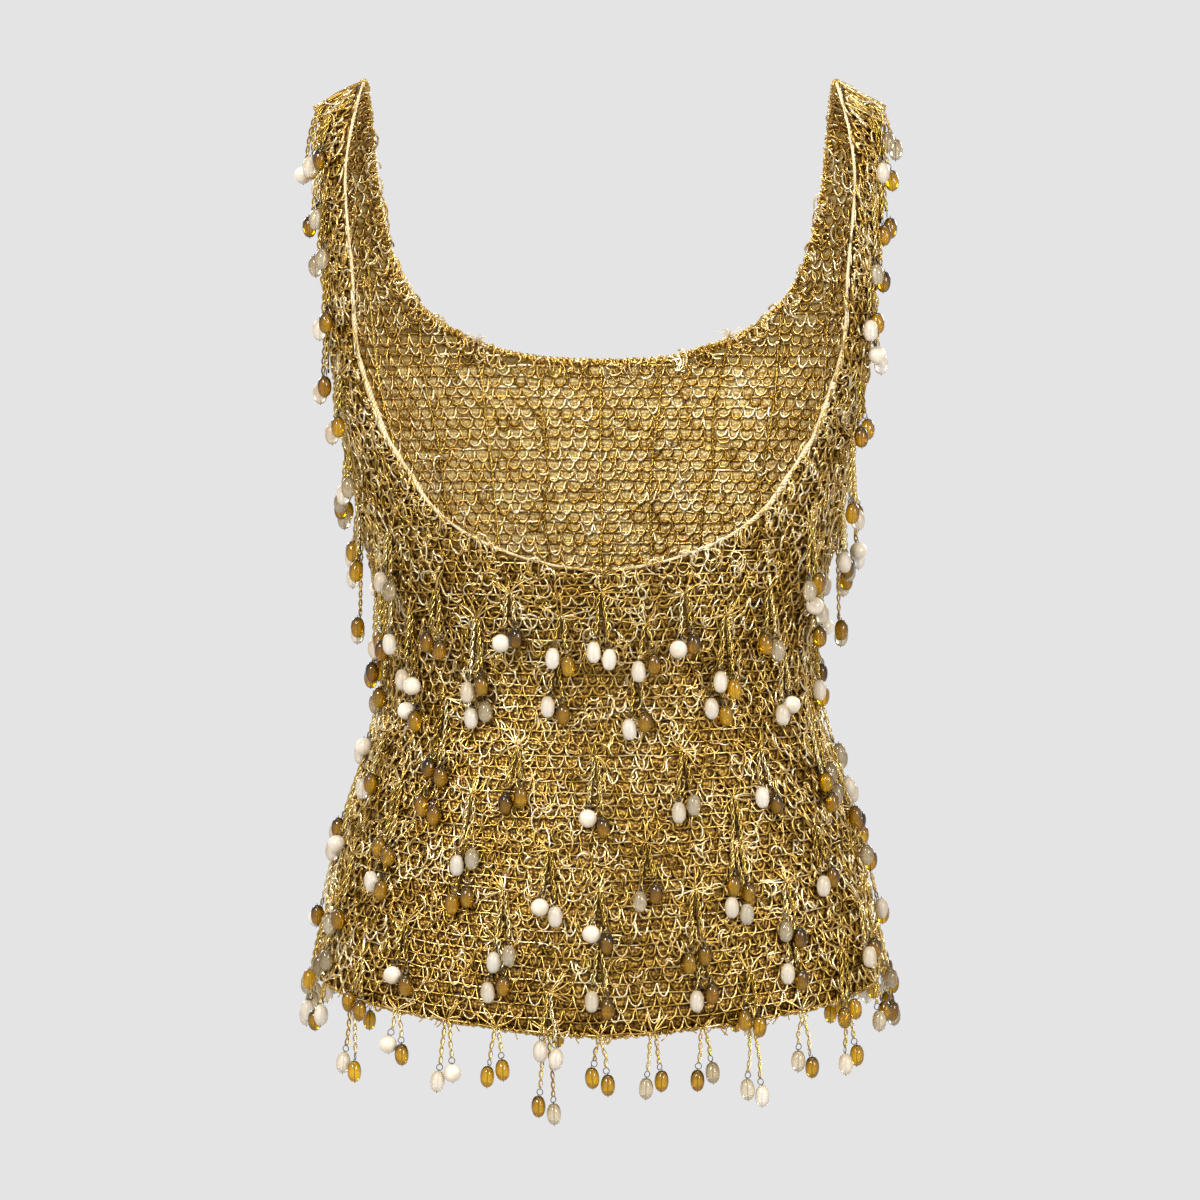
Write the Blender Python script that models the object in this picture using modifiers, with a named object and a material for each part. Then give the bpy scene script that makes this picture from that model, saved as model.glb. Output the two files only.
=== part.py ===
"""Beaded knit top: a sleeveless scoop-neck tank of open metallic knit, hung with pairs of bead drops.

Metres, +Z up, front towards -Y, +X to the viewer's right. The origin is midway between the two shoulder
straps, where the shoulders carry the garment. A "drop" is a distance down from there, and a "share" is a
place along half a section: 0 at the centre of the front or back, 1 at the side seam.
"""

import bmesh
import bpy
import numpy as np

NAME = "beaded_knit_top"

# Cloth. The shoulders fall outward by SHOULDER_FALL, and the flutes deepen below FLUTE_START.
WALL = 0.002
GAP = 0.0003
SHOULDER_FALL = 0.014
STRAP_INNER_X = 0.1345
STRAP_OUTER_X = 0.160
FALL_FADE = 0.030
UNDERARM_DROP = 0.208
HEM_CENTRE_DROP = 0.524
HEM_SIDE_DROP = 0.495
FLUTE_START = 0.37
FLUTE_DEPTH = 0.014
FLUTE_WAVES = 3
FLUTE_RISE = 1.5
HALF_COLUMNS = 10
ROW_BOW = 1.5
NORMAL_STEP = 0.002
SECTION_STEPS = 181
CURVE_STEPS = 160
STRAIGHT_STEPS = 60

# Edgings. Each hole's middle tells an edging which side of the rim it lies on.
CORD_RADIUS = 0.00125
EDGING_RADIUS = 0.0018
HEM_RADIUS = 0.0015
SEAM_CLEARANCE = 0.0006
NECK_MIDDLE = (0.0, 0.05, 0.05)
ARMHOLE_MIDDLE = (0.150, 0.0, -0.12)
HEM_END = 0.97

# Bead drops. A strip's reach above and below its row is in parts of a row.
STRIP_REACH = {"hem": (0.12, 0.0), "short": (0.08, 0.08), "long": (0.07, 0.07)}
FRAME_STEP = 0.25
STRIP_DEPTH = 0.0014
STRIP_LIFT = 0.0005
HEM_STRIP_LIFT = 0.0009
ROOT_NEAR = 0.0002
ROOT_FAR = 0.0020
CHAIN_HALF = 0.0009
BEAD_HALF = 0.0031
BEAD_LENGTH = 0.012
BEAD_SPLAY = 0.0043
CHAIN_STANDOFF = 0.0034
BEAD_STANDOFF = 0.0054
BEAD_CLEARANCE = 0.0040
LENGTHS = (0.041, 0.037, 0.044, 0.039, 0.035, 0.043, 0.038)
HEM_LENGTHS = (0.034, 0.046, 0.040, 0.050, 0.036, 0.048, 0.042)
PAIR_DIFFERENCE = 0.004

# The garment's horizontal sections on a general figure. The squareness is the superellipse's exponent.
SECTIONS = np.array([
    # drop   half width  front depth  back depth  squareness
    (0.000, 0.1600, 0.000, 0.000, 2.8),
    (0.004, 0.1600, 0.026, 0.026, 2.8),
    (0.012, 0.1600, 0.048, 0.048, 2.8),
    (0.025, 0.1600, 0.068, 0.067, 2.8),
    (0.045, 0.1600, 0.085, 0.083, 2.8),
    (0.070, 0.1595, 0.097, 0.094, 2.8),
    (0.100, 0.1585, 0.106, 0.102, 2.8),
    (0.150, 0.1540, 0.111, 0.105, 2.8),
    (0.180, 0.1495, 0.110, 0.103, 2.7),
    (0.208, 0.1425, 0.109, 0.100, 2.6),
    (0.245, 0.1350, 0.107, 0.096, 2.5),
    (0.279, 0.1275, 0.104, 0.092, 2.4),
    (0.305, 0.1222, 0.099, 0.089, 2.35),
    (0.335, 0.1205, 0.095, 0.088, 2.3),
    (0.373, 0.1285, 0.098, 0.095, 2.3),
    (0.408, 0.1400, 0.104, 0.104, 2.3),
    (0.442, 0.1500, 0.109, 0.111, 2.35),
    (0.476, 0.1575, 0.113, 0.115, 2.4),
    (0.505, 0.1625, 0.115, 0.117, 2.4),
    (0.530, 0.1640, 0.116, 0.118, 2.4),
])
DROP, HALF_WIDTH, FRONT_DEPTH, BACK_DEPTH, SQUARENESS = range(5)

# Neck edges from the centre up to the shoulder, as seen from the front.
NECK_FRONT = np.array([
    # across  drop
    (0.0000, 0.2710),
    (0.0440, 0.2637),
    (0.0745, 0.2510),
    (0.0915, 0.2383),
    (0.1092, 0.2135),
    (0.1191, 0.1982),
    (0.1279, 0.1749),
    (0.1350, 0.1500),
    (0.1375, 0.1108),
    (0.1420, 0.0487),
    (0.1345, 0.0000),
])
NECK_BACK = np.array([
    # across  drop
    (0.0000, 0.1610),
    (0.0487, 0.1570),
    (0.0770, 0.1480),
    (0.0930, 0.1395),
    (0.1080, 0.1265),
    (0.1205, 0.1060),
    (0.1275, 0.0830),
    (0.1325, 0.0480),
    (0.1345, 0.0000),
])
# The armhole from the underarm up to the shoulder, as seen from the side.
ARMHOLE = np.array([
    # forward  drop
    (0.0000, 0.2080),
    (0.0210, 0.2020),
    (0.0350, 0.1850),
    (0.0430, 0.1550),
    (0.0420, 0.1150),
    (0.0355, 0.0750),
    (0.0290, 0.0450),
    (0.0220, 0.0210),
    (0.0150, 0.0085),
    (0.0075, 0.0020),
    (0.0000, 0.0000),
])

# Key rows of each panel: the drop at the centre or neck edge, at the side or armhole edge, and the number
# of rows from the key row before. Rows are counted up from the hem.
KEY_ROWS = {
    "front": ((HEM_CENTRE_DROP, HEM_SIDE_DROP, 0), (0.271, 0.271, 10), (0.249, 0.208, 3), (0.0, 0.0, 13)),
    "back": ((HEM_CENTRE_DROP, HEM_SIDE_DROP, 0), (0.208, 0.208, 12), (0.161, 0.161, 3), (0.0, 0.0, 11)),
}
NECK_TABLES = {"front": NECK_FRONT, "back": NECK_BACK}
DEPTH_COLUMN = {"front": FRONT_DEPTH, "back": BACK_DEPTH}
FACING = {"front": -1.0, "back": 1.0}

WIDE_PAIRS = (-8.75, -6.25, -3.75, -1.25, 1.25, 3.75, 6.25, 8.75)
NARROW_PAIRS = (-7.5, -5.0, -2.5, 0.0, 2.5, 5.0, 7.5)
# Rows of bead drops: name, panel, row, columns of the pairs, and how far the strip runs past the last pair.
DROP_ROWS = (
    ("drops_front_1", "front", 9.6, NARROW_PAIRS, 0.45),
    ("drops_front_2", "front", 8, WIDE_PAIRS, 0.45),
    ("drops_front_3", "front", 6, NARROW_PAIRS, 0.45),
    ("drops_front_4", "front", 4, WIDE_PAIRS, 0.45),
    ("drops_front_5", "front", 2, NARROW_PAIRS, 0.45),
    ("drops_front_side_right", "front", 12, (5.0, 7.5), 0.6),
    ("drops_front_side_left", "front", 12, (-7.5, -5.0), 0.6),
    ("drops_back_1", "back", 14, NARROW_PAIRS, 0.45),
    ("drops_back_2", "back", 12, WIDE_PAIRS, 0.45),
    ("drops_back_3", "back", 10, NARROW_PAIRS, 0.45),
    ("drops_back_4", "back", 8, WIDE_PAIRS, 0.45),
    ("drops_back_5", "back", 6, NARROW_PAIRS, 0.45),
    ("drops_back_6", "back", 4, WIDE_PAIRS, 0.45),
    ("drops_back_7", "back", 2, NARROW_PAIRS, 0.45),
    ("drops_hem_front", "front", 0, WIDE_PAIRS, 0.45),
    ("drops_hem_back", "back", 0, WIDE_PAIRS, 0.45),
)
# Bead drops on the straps: panel, row, and the column of the pair.
STRAP_DROPS = (
    ("front", 17, 6.0),
    ("front", 20, 5.0),
    ("front", 23, 6.5),
    ("back", 19, 6.0),
    ("back", 22, 5.0),
)
STRAP_STRIP_END = 2.0

FINISHES = {
    # colour, roughness, metallic
    "metallic_yarn": ((0.50, 0.36, 0.11), 0.42, 0.6),
    "cream_cord": ((0.72, 0.60, 0.36), 0.55, 0.2),
    "amber_glass": ((0.42, 0.20, 0.02), 0.08, 0.0),
}


def clear_scene():
    for scene_object in list(bpy.data.objects):
        bpy.data.objects.remove(scene_object, do_unlink=True)


def make_collection():
    collection = bpy.data.collections.new(NAME)
    bpy.context.scene.collection.children.link(collection)
    return collection


def make_material(name):
    colour, roughness, metallic = FINISHES[name]
    material = bpy.data.materials.new(name)
    material.use_nodes = True
    shader = material.node_tree.nodes["Principled BSDF"]
    shader.inputs["Base Color"].default_value = (*colour, 1.0)
    shader.inputs["Roughness"].default_value = roughness
    shader.inputs["Metallic"].default_value = metallic
    return material


def add_object(name, data, material_name, collection):
    piece = bpy.data.objects.new(name, data)
    data.materials.append(bpy.data.materials[material_name])
    collection.objects.link(piece)
    return piece


def smooth_lookup(place, places, values):
    """Cubic through every row of a table, with each row's slope taken from its neighbours."""
    slopes = np.gradient(values, places)
    k = np.clip(np.searchsorted(places, place) - 1, 0, len(places) - 2)
    span = places[k + 1] - places[k]
    t = (place - places[k]) / span
    start = (2 * t**3 - 3 * t**2 + 1) * values[k] + (t**3 - 2 * t**2 + t) * span * slopes[k]
    end = (3 * t**2 - 2 * t**3) * values[k + 1] + (t**3 - t**2) * span * slopes[k + 1]
    return start + end


def smooth_curve(table):
    """Smooth line through a table of (out, drop) rows that leaves its first row square to the drop."""
    mirrored = np.vstack([table[1] * (-1.0, 1.0), table])
    steps = np.hypot(*np.diff(mirrored, axis=0).T)
    places = np.concatenate([[0.0], np.cumsum(steps)])
    along = np.linspace(places[1], places[-1], CURVE_STEPS)
    return np.stack([smooth_lookup(along, places, mirrored[:, k]) for k in (0, 1)], axis=1)


def half_section(side, drop):
    """Half a superellipse at one drop: across, outward and share, from the centre to the side seam.

    The table is read by the drop's square root, which rounds the top of the shoulder.
    """
    columns = (HALF_WIDTH, DEPTH_COLUMN[side], SQUARENESS)
    size = [smooth_lookup(np.sqrt(drop), np.sqrt(SECTIONS[:, DROP]), SECTIONS[:, k]) for k in columns]
    angle = np.linspace(0.0, np.pi / 2, SECTION_STEPS)
    across = size[0] * np.sin(angle) ** (2 / size[2])
    outward = size[1] * np.cos(angle) ** (2 / size[2])
    length = np.concatenate([[0.0], np.cumsum(np.hypot(np.diff(across), np.diff(outward)))])
    return across, outward, length / length[-1]


def share_at_neck(side, across, drop):
    section = half_section(side, drop)
    return float(np.interp(across, section[0], section[2]))


def share_at_armhole(side, forward, drop):
    section = half_section(side, drop)
    if section[1][0] <= 0.0:
        return 1.0
    return float(np.interp(forward, section[1][::-1], section[2][::-1]))


def cloth_point(side, share, drop):
    """A point of the outer surface. Soft flutes deepen towards the hem, and the shoulder falls outward."""
    across, outward, shares = half_section(side, drop)
    ramp = max(0.0, (drop - FLUTE_START) / (HEM_CENTRE_DROP - FLUTE_START)) ** FLUTE_RISE
    flute = 1.0 + FLUTE_DEPTH * ramp * np.cos(np.pi * FLUTE_WAVES * share)
    x = np.interp(share, shares, across) * flute
    y = np.interp(share, shares, outward) * flute
    beyond = max(0.0, (x - STRAP_INNER_X) / (STRAP_OUTER_X - STRAP_INNER_X))
    fall = SHOULDER_FALL * beyond * np.exp(-drop / FALL_FADE)
    return np.array([x, FACING[side] * (y + GAP / 2), -drop - fall])


def cloth_normal(side, share, drop):
    """Outward normal of the outer surface, from short steps along and down it."""
    ends = (min(share + NORMAL_STEP, 1.0), max(share - NORMAL_STEP, 0.0))
    levels = (drop + NORMAL_STEP, max(drop - NORMAL_STEP, 0.0))
    along = cloth_point(side, ends[0], drop) - cloth_point(side, ends[1], drop)
    down = cloth_point(side, share, levels[0]) - cloth_point(side, share, levels[1])
    return np.cross(along, down) * FACING[side]


def edge_line(side, at_centre):
    """The (share, drop) line of a panel's inner or outer edge, from the hem up to the shoulder."""
    if at_centre:
        curve = smooth_curve(NECK_TABLES[side])
        upper = [(share_at_neck(side, x, drop), drop) for x, drop in curve]
        straight = np.linspace(HEM_CENTRE_DROP, curve[0, 1], STRAIGHT_STEPS, endpoint=False)
        lower = [(0.0, drop) for drop in straight]
    else:
        curve = smooth_curve(ARMHOLE)
        upper = [(share_at_armhole(side, max(y, 0.0), max(drop, 0.0)), drop) for y, drop in curve]
        straight = np.linspace(HEM_SIDE_DROP, UNDERARM_DROP, STRAIGHT_STEPS, endpoint=False)
        lower = [(1.0, drop) for drop in straight]
    return np.array(lower + upper)


def edge_rows(side, at_centre):
    """Places of the panel's rows on one edge, evenly spaced between the key rows."""
    line = edge_line(side, at_centre)
    points = np.array([cloth_point(side, share, max(drop, 0.0)) for share, drop in line])
    length = np.concatenate([[0.0], np.cumsum(np.linalg.norm(np.diff(points, axis=0), axis=1))])
    column = 0 if at_centre else 1
    marks = [np.interp(-key[column], -line[:, 1], length) for key in KEY_ROWS[side]]
    places = [marks[0]]
    for start, end, key in zip(marks, marks[1:], KEY_ROWS[side][1:]):
        places.extend(np.linspace(start, end, key[2] + 1)[1:])
    return np.stack([np.interp(places, length, line[:, k]) for k in (0, 1)], axis=1)


def panel_grid(side):
    """Outer points and normals of a panel's right half: rows up from the hem, columns out to the side.

    The normals are kept square to the centre plane and to the seams, so that the wall's rims meet flat.
    """
    inner = edge_rows(side, True)
    outer = edge_rows(side, False)
    weights = np.linspace(0.0, 1.0, HALF_COLUMNS + 1)
    rows = []
    normals = []
    for (share_in, drop_in), (share_out, drop_out) in zip(inner, outer):
        shares = share_in + (share_out - share_in) * weights
        bow = weights**ROW_BOW
        roots = np.sqrt(max(drop_in, 0.0)) * (1 - bow) + np.sqrt(max(drop_out, 0.0)) * bow
        rows.append([cloth_point(side, share, drop) for share, drop in zip(shares, roots**2)])
        normals.append([cloth_normal(side, share, drop) for share, drop in zip(shares, roots**2)])
    normals = np.array(normals)
    normals[: key_row(side, "neck") + 1, 0, 0] = 0.0
    normals[: key_row(side, "armhole") + 1, -1, 1] = 0.0
    normals[-1, :, 1] = 0.0
    return np.array(rows), normals / np.linalg.norm(normals, axis=2, keepdims=True)


def wall_point(grid, row, column):
    """A point of the outer surface at a fractional row and a signed fractional column."""
    i = int(np.clip(np.floor(row), 0, len(grid) - 2))
    j = int(np.clip(np.floor(abs(column)), 0, HALF_COLUMNS - 1))
    u, v = row - i, abs(column) - j
    point = (grid[i, j] * (1 - u) + grid[i + 1, j] * u) * (1 - v)
    point = point + (grid[i, j + 1] * (1 - u) + grid[i + 1, j + 1] * u) * v
    return point * ((-1.0, 1.0, 1.0) if column < 0 else (1.0, 1.0, 1.0))


def level_frame(side, grid, row, column):
    """Level directions along the row, to +X, and out of the cloth."""
    along = wall_point(grid, row, column + FRAME_STEP) - wall_point(grid, row, column - FRAME_STEP)
    along[2] = 0.0
    along = along / np.linalg.norm(along)
    outward = -FACING[side] * np.array([along[1], -along[0], 0.0])
    return along, outward


def build_panel(side, grid, normals, collection):
    """A half panel: outer and inner skins with rims between, open at the centre and mirrored there."""
    mesh = bmesh.new()
    surfaces = (grid, grid - normals * WALL)
    skins = [[[mesh.verts.new(point) for point in row] for row in surface] for surface in surfaces]
    outer, inner = skins
    rows, columns = grid.shape[:2]
    for i in range(rows - 1):
        for j in range(columns - 1):
            for skin in skins:
                mesh.faces.new((skin[i][j], skin[i][j + 1], skin[i + 1][j + 1], skin[i + 1][j]))
        mesh.faces.new((outer[i][-1], inner[i][-1], inner[i + 1][-1], outer[i + 1][-1]))
        if i >= key_row(side, "neck"):
            mesh.faces.new((outer[i][0], inner[i][0], inner[i + 1][0], outer[i + 1][0]))
    for j in range(columns - 1):
        for i in (0, -1):
            mesh.faces.new((outer[i][j], inner[i][j], inner[i][j + 1], outer[i][j + 1]))
    bmesh.ops.recalc_face_normals(mesh, faces=mesh.faces)
    orient_outward(mesh, FACING[side])
    data = bpy.data.meshes.new(side + "_panel")
    mesh.to_mesh(data)
    mesh.free()
    panel = add_object(side + "_panel", data, "metallic_yarn", collection)
    mirror = panel.modifiers.new("halves", "MIRROR")
    mirror.use_clip = True
    mirror.merge_threshold = 0.0001


def orient_outward(mesh, facing):
    """Turns the faces of an open half panel round if its hem's middle faces inward."""
    mesh.faces.ensure_lookup_table()
    if mesh.faces[0].normal.y * facing < 0:
        bmesh.ops.reverse_faces(mesh, faces=mesh.faces)


def edging_line(grid, normals, column, first_row, hole_centre, radius):
    """Centre line of an edging on one edge of the right half: beside the rim, mid-wall, in the hole."""
    points = grid[first_row:, column]
    out = normals[first_row:, column]
    across = np.cross(np.gradient(points, axis=0), out)
    across = across / np.linalg.norm(across, axis=1, keepdims=True)
    towards = np.sum(across * (np.array(hole_centre) - points), axis=1)
    across = across * np.sign(towards)[:, None] / mitres(points)[:, None]
    return points + across * (radius + GAP) - out * (WALL / 2)


def mitres(points):
    """Cosine of half the turn at each point of a line, which keeps an offset line parallel."""
    steps = np.diff(points, axis=0)
    steps = steps / np.linalg.norm(steps, axis=1, keepdims=True)
    turns = np.arccos(np.clip(np.sum(steps[1:] * steps[:-1], axis=1), -1.0, 1.0))
    return np.cos(0.5 * np.concatenate([[0.0], turns, [0.0]]))


def mirror_line(points):
    return points * (-1.0, 1.0, 1.0)


def add_cord(name, points, radius, material_name, collection, cyclic=False):
    """A round cord along a line of points."""
    curve = bpy.data.curves.new(name, "CURVE")
    curve.dimensions = "3D"
    curve.bevel_depth = radius
    curve.bevel_resolution = 1
    curve.use_fill_caps = not cyclic
    spline = curve.splines.new("POLY")
    spline.points.add(len(points) - 1)
    for target, point in zip(spline.points, points):
        target.co = (*point, 1.0)
    spline.use_cyclic_u = cyclic
    add_object(name, curve, material_name, collection)


def build_neck_edges(grids, normals, collection):
    """The pale cord on the front neck edge, and the edging on the back one."""
    for side, radius, name, finish in (
        ("front", CORD_RADIUS, "neck_cord_front", "cream_cord"),
        ("back", EDGING_RADIUS, "neck_edging_back", "metallic_yarn"),
    ):
        grid = grids[side]
        bottom = key_row(side, "neck")
        hole = (NECK_MIDDLE[0], FACING[side] * NECK_MIDDLE[1], NECK_MIDDLE[2])
        right = edging_line(grid, normals[side], 0, bottom, hole, radius)
        right[0, 0] = 0.0
        right[-1, 1] += FACING[side] * SEAM_CLEARANCE
        add_cord(name, np.vstack([mirror_line(right[:0:-1]), right]), radius, finish, collection)


def key_row(side, edge):
    """Row at which the neck or the armhole starts."""
    column, drop = (0, NECK_TABLES[side][0, 1]) if edge == "neck" else (1, UNDERARM_DROP)
    rows = np.cumsum([key[2] for key in KEY_ROWS[side]])
    return int(next(row for row, key in zip(rows, KEY_ROWS[side]) if key[column] == drop))


def build_armhole_edgings(grids, normals, collection):
    """One loop of edging round each armhole, down the front and up the back."""
    halves = []
    for side in ("front", "back"):
        start = key_row(side, "armhole")
        line = edging_line(grids[side], normals[side], -1, start, ARMHOLE_MIDDLE, EDGING_RADIUS)
        line[-1, 1] += FACING[side] * SEAM_CLEARANCE
        line[0, 1] += FACING[side] * SEAM_CLEARANCE
        halves.append(line)
    loop = np.vstack([halves[0], halves[1][::-1]])
    add_cord("armhole_edging_right", loop, EDGING_RADIUS, "metallic_yarn", collection, True)
    add_cord("armhole_edging_left", mirror_line(loop), EDGING_RADIUS, "metallic_yarn", collection, True)


def build_hem_edging(grids, collection):
    """One loop of edging under the hem."""
    lines = []
    columns = range(-HALF_COLUMNS, HALF_COLUMNS + 1)
    for side in ("front", "back"):
        points = np.array([wall_point(grids[side], 0, c) for c in columns])
        outward = np.array([level_frame(side, grids[side], 0, c * HEM_END)[1] for c in columns])
        line = points - outward * (WALL / 2) - (0.0, 0.0, HEM_RADIUS + GAP)
        lines.append(line[1:-1])
    side_seam = 0.5 * (line[0] + line[-1] * (-1.0, 1.0, 1.0)) * (1.0, 0.0, 1.0)
    loop = np.vstack([lines[0], [mirror_line(side_seam)], lines[1][::-1], [side_seam]])
    add_cord("hem_edging", loop, HEM_RADIUS, "metallic_yarn", collection, True)


def strip_stations(grid, row, pairs, end):
    """Columns at which a strip has points: its ends, each wall column, and both sides of each root."""
    width = np.linalg.norm(wall_point(grid, row, pairs[0]) - wall_point(grid, row, pairs[0] + 0.5)) / 0.5
    offsets = np.array([-ROOT_FAR, -ROOT_NEAR, ROOT_NEAR, ROOT_FAR]) / width
    first, last = pairs[0] - end, pairs[-1] + end
    columns = np.arange(np.floor(first) + 1, np.ceil(last))
    clear = [c for c in columns if min(abs(c - pair) for pair in pairs) > 2 * offsets[-1]]
    starts = [pair + offset for pair in pairs for offset in offsets[::2]]
    stations = sorted([first, last, *clear, *(pair + offset for pair in pairs for offset in offsets)])
    return stations, [int(np.argmin(np.abs(np.array(stations) - start))) for start in starts]


def strip_corners(side, grid, row, column, heights):
    """The strip's three corners at one column: top and bottom beside the cloth, and bottom outward."""
    outward = level_frame(side, grid, row, column)[1]
    lift = HEM_STRIP_LIFT if row == 0 else STRIP_LIFT
    top = wall_point(grid, row + heights[0], column) + outward * lift
    bottom = wall_point(grid, row - heights[1], column) + outward * lift
    return [top, bottom, bottom + outward * STRIP_DEPTH]


def wall_reach(grid, column, level, outward, width):
    """How far out the cloth reaches at a level, just beside and at a column, along a level direction."""
    reach = []
    for beside in (-BEAD_CLEARANCE / width, 0.0, BEAD_CLEARANCE / width):
        place = float(np.clip(column + beside, -HALF_COLUMNS, HALF_COLUMNS))
        line = np.array([wall_point(grid, row, place) for row in range(len(grid))])
        rising = np.maximum.accumulate(line[:, 2])
        reach.append(np.interp(level, rising, line @ outward))
    return max(reach)


def strand_rings(side, grid, row, column, corners, splay, length):
    """Rings of one strand below its root: the chain's end, the bead's middle and the bead's end."""
    along, outward = level_frame(side, grid, row, column)
    centre = corners.mean(axis=0)
    root = wall_point(grid, row, column)
    width = np.linalg.norm(root - wall_point(grid, row, column + FRAME_STEP)) / FRAME_STEP
    rings = []
    for below, half, standoff in (
        (length - BEAD_LENGTH, CHAIN_HALF, CHAIN_STANDOFF),
        (length - BEAD_LENGTH * 0.5, BEAD_HALF, BEAD_STANDOFF),
        (length, CHAIN_HALF, BEAD_STANDOFF),
    ):
        level = centre[2] - below
        reach = max(root @ outward, wall_reach(grid, column, level, outward, width)) + standoff
        sideways = centre @ along + splay * min(1.0, below / (length - BEAD_LENGTH * 0.5))
        middle = along * sideways + outward * reach + np.array([0.0, 0.0, level])
        rings.append([middle - along * half - outward * half, middle + along * half - outward * half,
                      middle + along * half + outward * half, middle - along * half + outward * half])
    return rings


def add_strand(mesh, root, rings):
    """Extrudes a strand from the four vertices of its root, and closes its end."""
    previous = root
    for ring in rings:
        current = [mesh.verts.new(point) for point in ring]
        for k in range(4):
            mesh.faces.new((previous[k], previous[(k + 1) % 4], current[(k + 1) % 4], current[k]))
        previous = current
    mesh.faces.new(previous)


def build_drops(name, side, grid, row, pairs, end, lengths, collection):
    """A row of bead drops: a narrow strip beside the cloth, with pairs of strands from its underside."""
    heights = STRIP_REACH["hem" if row == 0 else "short" if len(pairs) < 3 else "long"]
    stations, roots = strip_stations(grid, row, pairs, end)
    points = np.array([strip_corners(side, grid, row, column, heights) for column in stations])
    mesh = bmesh.new()
    lines = [[mesh.verts.new(point) for point in station] for station in points]
    for k, (near, far) in enumerate(zip(lines, lines[1:])):
        mesh.faces.new((near[0], far[0], far[1], near[1]))
        mesh.faces.new((near[2], far[2], far[0], near[0]))
        if k not in roots:
            mesh.faces.new((near[1], far[1], far[2], near[2]))
    mesh.faces.new(lines[0])
    mesh.faces.new(lines[-1][::-1])
    for count, k in enumerate(roots):
        near, far = lines[k], lines[k + 1]
        root = [near[1], far[1], far[2], near[2]]
        corners = np.array([vertex.co for vertex in root])
        column = 0.5 * (stations[k] + stations[k + 1])
        splay = (-1.0 if count % 2 == 0 else 1.0) * BEAD_SPLAY
        length = lengths[(count // 2 + int(row)) % len(lengths)]
        length -= PAIR_DIFFERENCE * ((count + count // 2) % 2)
        add_strand(mesh, root, strand_rings(side, grid, row, column, corners, splay, length))
    bmesh.ops.recalc_face_normals(mesh, faces=mesh.faces)
    data = bpy.data.meshes.new(name)
    mesh.to_mesh(data)
    mesh.free()
    add_object(name, data, "amber_glass", collection)


def main():
    clear_scene()
    collection = make_collection()
    for name in FINISHES:
        make_material(name)
    grids = {}
    normals = {}
    for side in ("front", "back"):
        grids[side], normals[side] = panel_grid(side)
        build_panel(side, grids[side], normals[side], collection)
    build_neck_edges(grids, normals, collection)
    build_armhole_edgings(grids, normals, collection)
    build_hem_edging(grids, collection)
    for name, side, row, pairs, end in DROP_ROWS:
        lengths = HEM_LENGTHS if row == 0 else LENGTHS
        build_drops(name, side, grids[side], row, pairs, end, lengths, collection)
    for side, row, column in STRAP_DROPS:
        for hand, sign in (("right", 1), ("left", -1)):
            name = "drops_strap_{}_{}_{}".format(side, hand, row)
            build_drops(name, side, grids[side], row, (sign * column,), STRAP_STRIP_END, LENGTHS, collection)


main()
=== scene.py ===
"""Looks of the beaded knit top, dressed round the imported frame.

The top is an open knit of twisted metallic yarn over a fine metallic ground, and each row of stitches is a
tube of yarn laid on one surface, a stack of superellipse sections. A place on that surface has

    share   its place along half a section: 0 at the centre of the front or back, 1 at the side seam, and
            negative on the viewer's left
    root    the square root of its drop below the shoulders, which rounds the top of the shoulder

Metres, +Z up, front towards -Y, +X to the viewer's right. Lift is a distance out of the cloth.
"""

import logging
from dataclasses import dataclass, field
from enum import Enum

import bmesh
import bpy
import numpy as np
from mathutils import Matrix


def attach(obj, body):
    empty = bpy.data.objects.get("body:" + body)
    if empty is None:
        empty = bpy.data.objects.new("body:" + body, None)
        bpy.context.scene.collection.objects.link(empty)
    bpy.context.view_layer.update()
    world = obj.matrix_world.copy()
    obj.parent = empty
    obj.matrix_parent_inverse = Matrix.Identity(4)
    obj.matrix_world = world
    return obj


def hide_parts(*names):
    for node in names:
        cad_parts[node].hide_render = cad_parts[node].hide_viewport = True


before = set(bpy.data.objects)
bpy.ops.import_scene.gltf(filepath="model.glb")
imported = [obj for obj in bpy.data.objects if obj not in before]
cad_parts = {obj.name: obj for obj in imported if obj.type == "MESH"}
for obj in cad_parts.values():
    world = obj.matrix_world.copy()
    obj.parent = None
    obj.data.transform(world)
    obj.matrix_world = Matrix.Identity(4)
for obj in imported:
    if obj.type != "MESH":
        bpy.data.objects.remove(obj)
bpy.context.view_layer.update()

LOG = logging.getLogger("beaded_knit_top")
MM = 0.001
UP = np.array((0.0, 0.0, 1.0))
MIRROR = np.array((-1.0, 1.0, 1.0))
YARN_CORNERS = 3
PALE_GREY = "#E5E4E5"

Values = np.ndarray | float
Shape = tuple[np.ndarray, list[np.ndarray]]  # vertices, and arrays of faces by their number of corners
Line = tuple[np.ndarray, np.ndarray]  # points, and the outward normals there
Places = tuple[np.ndarray, np.ndarray]  # signed shares, and roots
Material = bpy.types.Material
Piece = bpy.types.Object

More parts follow.
